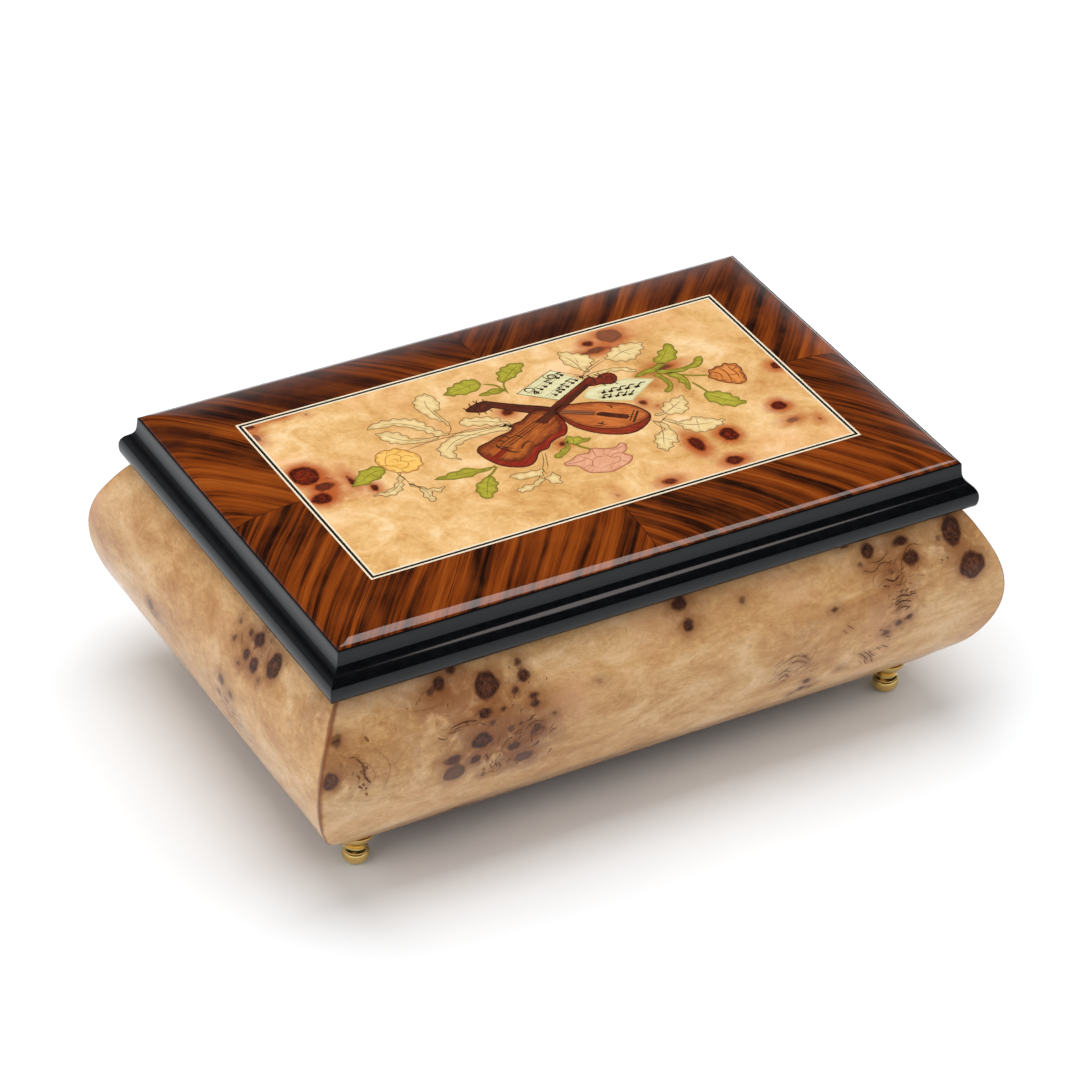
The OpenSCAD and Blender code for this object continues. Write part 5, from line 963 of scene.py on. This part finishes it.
NT += [([page_a(0, -.0), page_a(1, 0)], .18, 0), ([page_a(0, 0), page_a(0, 1)], .16, 0), ([page_a(.96, 0), page_a(.97, .9)], .14, 0)]
pC = np.array([[18.6, 12.2], [31.6, 12.4], [38, 9.2], [27.8, 3.1]])


def page_b(u, v):
    return tuple((1 - v) * ((1 - u) * np.array([19.4, 11.6]) + u * np.array([37.4, 9.6])) + v * ((1 - u) * np.array([18.4, 6.6]) + u * np.array([28.6, 3.4])))


for v in (.16, .26, .36, .6, .7, .8):
    NT.append(([page_b(.1, v), page_b(.9, v)], .08, 0))
for v0 in (.34, .76):
    for uu in np.linspace(.2, .84, 5):
        w = uu + r.uniform(-.02, .02)
        NT.append(([page_b(w, v0), page_b(w + .01, v0 - .24)], .36, 0))
        NT.append(([page_b(w - .04, v0 + .025), page_b(w + .04, v0 - .025)], .9, 0))
        if r.random() < .5:
            NT.append(([page_b(w + .01, v0 - .24), page_b(w + .1, v0 - .2)], .46, 0))
ribbons("page_notes", NT, Z0 + .1, Z1 + .004, INK, "lid")

# ------------------------------------------------------------------ turned brass feet
FOOT = [(0, .0), (2.0, .0), (2.55, .12), (3.15, .65), (3.55, 1.35), (3.7, 2.2), (3.66, 2.95), (3.5, 3.5), (3.4, 3.72), (3.22, 3.8), (3.2, 3.92), (3.34, 4.02), (3.3, 4.2), (3.05, 4.45), (2.8, 4.75), (2.72, 5.1),
        (2.86, 5.7), (3.2, 6.4), (3.7, 7.1), (4.25, 7.8), (4.75, 8.6), (5.05, 9.2), (5.25, 9.75), (5.2, 10.0), (0, 10.0)]
fp = [(p[0], max(p[1], 0.0)) for p in curve(FOOT[:9], 3)[:-1]] + FOOT[8:13] + [tuple(p) for p in curve(FOOT[12:23], 3)[1:]] + FOOT[23:]
for sx, sy, nm in ((-1, -1, "front_left"), (1, -1, "front_right"), (-1, 1, "back_left"), (1, 1, "back_right")):
    V, F = lathe(fp, (83 * sx, 49 * sy), 72)
    build("brass_foot_" + nm, V, F, BRASS, "case", ("feet",), sharp=40)

# ------------------------------------------------------------------ velvet
def swell(P, amp, seed):
    rs = np.random.RandomState(seed)
    s = np.zeros(len(P))
    for k in range(9):
        w = rs.uniform(.08, .42, 3) * rs.choice([-1, 1], 3)
        s += np.sin(P @ w + rs.uniform(0, 6.28)) / (1 + k * .35)
    return amp * s / 3


def cushion(name, x0, x1, y0, y1, z0, z1, body, crown, inset, nx, ny, seed, piping=None, replaces=(), puckers=(), flip=False):
    """A filled velvet pad: crowned, drawn in between its corners, flat underneath. The piping argument is not used."""
    V, F = [], []
    us, vs = np.linspace(-1, 1, nx + 1), np.linspace(-1, 1, ny + 1)

    def rim(u, v):
        cu, cv = (x1 - x0) / 2, (y1 - y0) / 2
        pull = inset * (1 - u * u) * abs(v) ** 6, inset * (1 - v * v) * abs(u) ** 6
        X = (x0 + x1) / 2 + u * (cu - pull[1]); Y = (y0 + y1) / 2 + v * (cv - pull[0])
        return X, Y
    h = z1 - z0
    for top in (0, 1):
        for v in vs:
            for u in us:
                X, Y = rim(u, v)
                e = (1 - abs(u) ** 7) * (1 - abs(v) ** 7)
                if top:
                    z = z0 + h * .42 + h * .58 * max(e, 0) ** .36 * (1 - crown * (u * u * .5 + v * v * .5))
                    for px, py, depth, rad in puckers:
                        z -= depth * math.exp(-((X - px) ** 2 + (Y - py) ** 2) / rad ** 2)
                else:
                    z = z0 + h * .42 * (1 - max(e, 0) ** .3)
                V.append((X, Y, z))
    m = nx + 1
    k = m * (ny + 1)
    for t in (0, 1):
        for j in range(ny):
            for i in range(nx):
                a = t * k + j * m + i
                F.append((a, a + 1, a + m + 1, a + m))
    for i in range(nx):
        F.append((i, i + 1, k + i + 1, k + i)); F.append((ny * m + i, ny * m + i + 1, k + ny * m + i + 1, k + ny * m + i))
    for j in range(ny):
        F.append((j * m, (j + 1) * m, k + (j + 1) * m, k + j * m)); F.append((j * m + nx, (j + 1) * m + nx, k + (j + 1) * m + nx, k + j * m + nx))
    V = np.array(V)
    s = swell(V[:, [0, 1, 2]], .22, seed)
    edge = np.concatenate([np.zeros(k), np.array([(1 - abs(u) ** 5) * (1 - abs(v) ** 5) for v in vs for u in us])])
    V[:, 2] += s * edge
    if flip:
        V[:, 2] = z0 + z1 - V[:, 2]
    ob = build(name, V, F, VELVET, body, replaces)
    return ob


# floor pad: two buttons' worth of puckers and a crowned top
cushion("velvet_floor_pad", -8.2, 83.4, -15.6, 48.2, 21.1, 25.6, "case", .10, .5, 92, 64, 3, replaces=("floor_pad",), puckers=((15, 16, .7, 5), (60, 16, .7, 5), (37.5, 32, .6, 5), (37.5, 0, .6, 5)))

# ring rolls: three stuffed rolls sewn shut along the bottom, gathered at the ends
for i, yc in enumerate((-43.3, -32.6, -21.9)):
    V, F = [], []
    L0, L1, R, zc, nl, na = -8.2, 83.4, 5.2, 26.35, 120, 44
    rs = np.random.RandomState(40 + i)
    ph = rs.uniform(0, 6.28, 8)
    for a in range(nl + 1):
        t = a / nl
        x = L0 + (L1 - L0) * t
        d = min(x - L0, L1 - x)
        fat = min(1, (d / 3.2)) ** .45 if d > 0 else 0
        for b in range(na):
            an = 2 * math.pi * b / na
            rr = R * (.36 + .64 * fat) * (1 - .018 * (1 + math.sin(x * .21 + ph[0]) * .5 + math.sin(x * .47 + 2 * an + ph[1]) * .4 + math.sin(x * .9 - 3 * an + ph[2]) * .25))
            rr -= .16 * max(0, 1 - d / 5) * (1 + math.sin(9 * an + ph[3]))
            zz = zc + rr * math.sin(an)
            V.append((x, yc + rr * math.cos(an), max(zz, 21.12)))
    for a in range(nl):
        for b in range(na):
            c = (b + 1) % na
            F.append((a * na + b, a * na + c, (a + 1) * na + c, (a + 1) * na + b))
    F.append([b for b in range(na)]); F.append([nl * na + b for b in range(na)][::-1])
    ob = build("velvet_ring_roll_%d" % (i + 1), V, F, VELVET, "case", ("ring_rolls",))

# lining of the jewellery space: four glued panels of velvet on card, and the lid's padded panel
lo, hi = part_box("compartment_lining")
lo, hi = np.array(lo) * 1000, np.array(hi) * 1000


def panel_lining(name, axis, at, out, a0, a1, z0, z1, th, seed, replaces=()):
    """Upright padded lining panel: its face bellies out a little between its edges."""
    V, F = [], []
    na, nz = max(8, int((a1 - a0) / 1.5)), 26
    for lay in (0, 1):
        for j in range(nz + 1):
            for i in range(na + 1):
                a, z = a0 + (a1 - a0) * i / na, z0 + (z1 - z0) * j / nz
                e = min(a - a0, a1 - a, z - z0, z1 - z)
                dpt = 0 if not lay else th * (.45 + .55 * min(1, e / 1.6) ** .5)
                if lay:
                    dpt += .05 * math.sin(a * .31 + seed) * math.sin(z * .27 + seed * 2) * min(1, e / 4)
                p = (at + out * dpt)
                V.append((p, a, z) if axis == "x" else (a, p, z))
    m, k = na + 1, (na + 1) * (nz + 1)
    for t in (0, 1):
        for j in range(nz):
            for i in range(na):
                q = t * k + j * m + i
                F.append((q, q + 1, q + m + 1, q + m))
    for i in range(na):
        F.append((i, i + 1, k + i + 1, k + i)); F.append((nz * m + i, nz * m + i + 1, k + nz * m + i + 1, k + nz * m + i))
    for j in range(nz):
        F.append((j * m, (j + 1) * m, k + (j + 1) * m, k + j * m)); F.append((j * m + na, (j + 1) * m + na, k + (j + 1) * m + na, k + j * m + na))
    return build(name, V, F, VELVET, "case", replaces)


TH = 1.15
panel_lining("velvet_lining_left", "x", lo[0], 1, lo[1], hi[1], lo[2], hi[2], TH, .4, ("compartment_lining",))
panel_lining("velvet_lining_right", "x", hi[0], -1, lo[1], hi[1], lo[2], hi[2], TH, 1.7)
panel_lining("velvet_lining_front", "y", lo[1], 1, lo[0] + TH, hi[0] - TH, lo[2], hi[2], TH, 2.9)
panel_lining("velvet_lining_back", "y", hi[1], -1, lo[0] + TH, hi[0] - TH, lo[2], hi[2], TH, 4.1)
cushion("velvet_lid_panel", -84.6, 84.6, -49.6, 49.6, 66.2, 69.0, "lid", .04, .25, 150, 90, 9, replaces=("lid_lining",), flip=True)

# ------------------------------------------------------------------ finishes on the CAD parts that stay
FIN = {"base_board": CARCASS, "corner_blocks": CARCASS, "divider": CARCASS, "compartment_floor": CARCASS, "cover_ledges": CARCASS, "lid_core": CARCASS, "clear_cover": CLEAR,
       "cover_screws": BRASSW, "case_hinge_leaves": BRASSW, "lid_hinge_leaves": BRASSW, "hinge_pins": BRASSW, "case_hinge_screws": BRASSW, "lid_hinge_screws": BRASSW,
       "bedplate": GILT, "click_spring": STEEL, "cylinder_brackets": GILT, "comb_base": CAST, "comb": BLUED, "governor_frame": GILT, "stop_posts": GILT, "movement_screws": STEEL,
       "winding_arbor": STEEL, "winding_key": BRASSW, "spring_barrel": GILT, "great_wheel": BRASSW, "mainspring": STEEL, "music_cylinder": BRASSW, "cylinder_pins": STEEL,
       "cylinder_arbor": STEEL, "drive_gear": BRASSW, "governor_arbor": STEEL, "governor_wheel": BRASSW, "worm_arbor": STEEL, "air_fan": BRASSW, "stop_lever": STEEL, "stop_pin": BRASSW,
       "light_stringing": HOLLY, "ebony_stringing": EBONY}
for n, mt in FIN.items():
    o = NODE[n]
    if not len(o.data.materials):
        o.data.materials.append(mt)
    for i in range(len(o.material_slots)):
        o.material_slots[i].material = mt

# ------------------------------------------------------------------ room, light and camera
def place(o, name=None):
    bpy.context.scene.collection.objects.link(o)
    return o


fm = Mat("studio_floor")
n = fm.noise(fm.pos(), .01, 3)
FLOOR = fm.shade(fm.mix(fm.step(n, .3, .7), (.9, .93, .955, 1), (.915, .945, .97, 1)), .85, Specular_IOR_Level=.1)
me = bpy.data.meshes.new("floor")
me.from_pydata([(-4, -4, 0), (4, -4, 0), (4, 4, 0), (-4, 4, 0)], [], [(0, 1, 2, 3)])
me.materials.append(FLOOR)
fl = place(bpy.data.objects.new("floor", me))


def area(name, loc, target, w, h, power, color=(1, 1, 1), spread=180):
    L = bpy.data.lights.new(name, "AREA")
    L.shape = "RECTANGLE"; L.size = w; L.size_y = h; L.energy = power; L.color = color; L.spread = math.radians(spread)
    o = place(bpy.data.objects.new(name, L))
    o.location = loc
    d = Vector(target) - Vector(loc)
    o.rotation_euler = d.to_track_quat("-Z", "Y").to_euler()
    return o


key = area("overhead_softbox", (.0, .17, 1.15), (0, 0, .04), 1.1, .9, 10.3, (1, 1, 1))
key.visible_glossy = False
area("left_softbox", (-1.15, -.2, .8), (0, 0, .03), .9, .8, 3.5, (1, 1, 1)).visible_glossy = False
area("front_fill", (.75, -.8, 1.1), (.03, 0, .03), .9, .7, 2.9, (1, 1, 1)).visible_glossy = False
strip = area("reflection_strip", (.474, -.359, 1.15), (.474, -.359, 0), .9, .5, 6.4, (1, .91, .88))
strip.rotation_euler = (0, 0, math.radians(-49))
strip.visible_diffuse = False

w = bpy.data.worlds.new("studio")
bpy.context.scene.world = w
w.use_nodes = True
nt = w.node_tree
nt.nodes.clear()
out = nt.nodes.new("ShaderNodeOutputWorld"); bg = nt.nodes.new("ShaderNodeBackground")
nt.links.new(bg.outputs[0], out.inputs[0])


def wn(kind, ins=(), o=0, **pr):
    nd = nt.nodes.new(kind)
    for k, v in pr.items():
        setattr(nd, k, v)
    for k, v in (ins.items() if isinstance(ins, dict) else enumerate(ins)):
        if isinstance(v, bpy.types.NodeSocket):
            nt.links.new(v, nd.inputs[k])
        else:
            nd.inputs[k].default_value = v
    return nd.outputs[o]


# a dim room with a pale wall low behind the table
tc = nt.nodes.new("ShaderNodeTexCoord")
sep = nt.nodes.new("ShaderNodeSeparateXYZ"); nt.links.new(tc.outputs["Generated"], sep.inputs[0])
lowz = wn("ShaderNodeMapRange", {0: sep.outputs[2], 1: .5, 2: .26, 3: 0, 4: 1}, interpolation_type="SMOOTHSTEP")
behind = wn("ShaderNodeMapRange", {0: sep.outputs[1], 1: .0, 2: .6, 3: 0, 4: 1}, interpolation_type="SMOOTHSTEP")
lift = wn("ShaderNodeMath", [lowz, behind], operation="MULTIPLY")
bg.inputs[0].default_value = (1, 1, 1, 1)
seen = wn("ShaderNodeMapRange", {0: lift, 1: 0, 2: 1, 3: .03, 4: .36})
sky = wn("ShaderNodeMapRange", {0: sep.outputs[2], 1: .0, 2: .85, 3: .2, 4: .54}, interpolation_type="SMOOTHSTEP")
path = nt.nodes.new("ShaderNodeLightPath")
pick = nt.nodes.new("ShaderNodeMix"); pick.data_type = "FLOAT"
nt.links.new(path.outputs["Is Glossy Ray"], pick.inputs[0])
nt.links.new(sky, pick.inputs[2])
w.cycles.sampling_method = "NONE"
nt.links.new(seen, pick.inputs[3])
nt.links.new(pick.outputs[0], bg.inputs[1])

AZ, EL, ROLL, DIST, TGT = math.radians(-30.4549), math.radians(35.2154), math.radians(2.161), 1.1609, Vector((-.02474, -.03956, .0784))
back = Vector((math.sin(AZ) * math.cos(EL), -math.cos(AZ) * math.cos(EL), math.sin(EL)))
cx = Vector((0, 0, 1)).cross(back).normalized()
cy = back.cross(cx)
c2, s2 = math.cos(ROLL), math.sin(ROLL)
x2, y2 = cx * c2 + cy * s2, cy * c2 - cx * s2
cam = bpy.data.cameras.new("camera")
cam.lens, cam.sensor_width, cam.clip_start = 148.5, 36, .01
co = place(bpy.data.objects.new("camera", cam))
pc = TGT + back * DIST
co.matrix_world = Matrix(((x2.x, y2.x, back.x, pc.x), (x2.y, y2.y, back.y, pc.y), (x2.z, y2.z, back.z, pc.z), (0, 0, 0, 1)))
bpy.context.scene.camera = co
bpy.context.scene.view_settings.view_transform = "Standard"
bpy.context.scene.view_settings.look = "None"

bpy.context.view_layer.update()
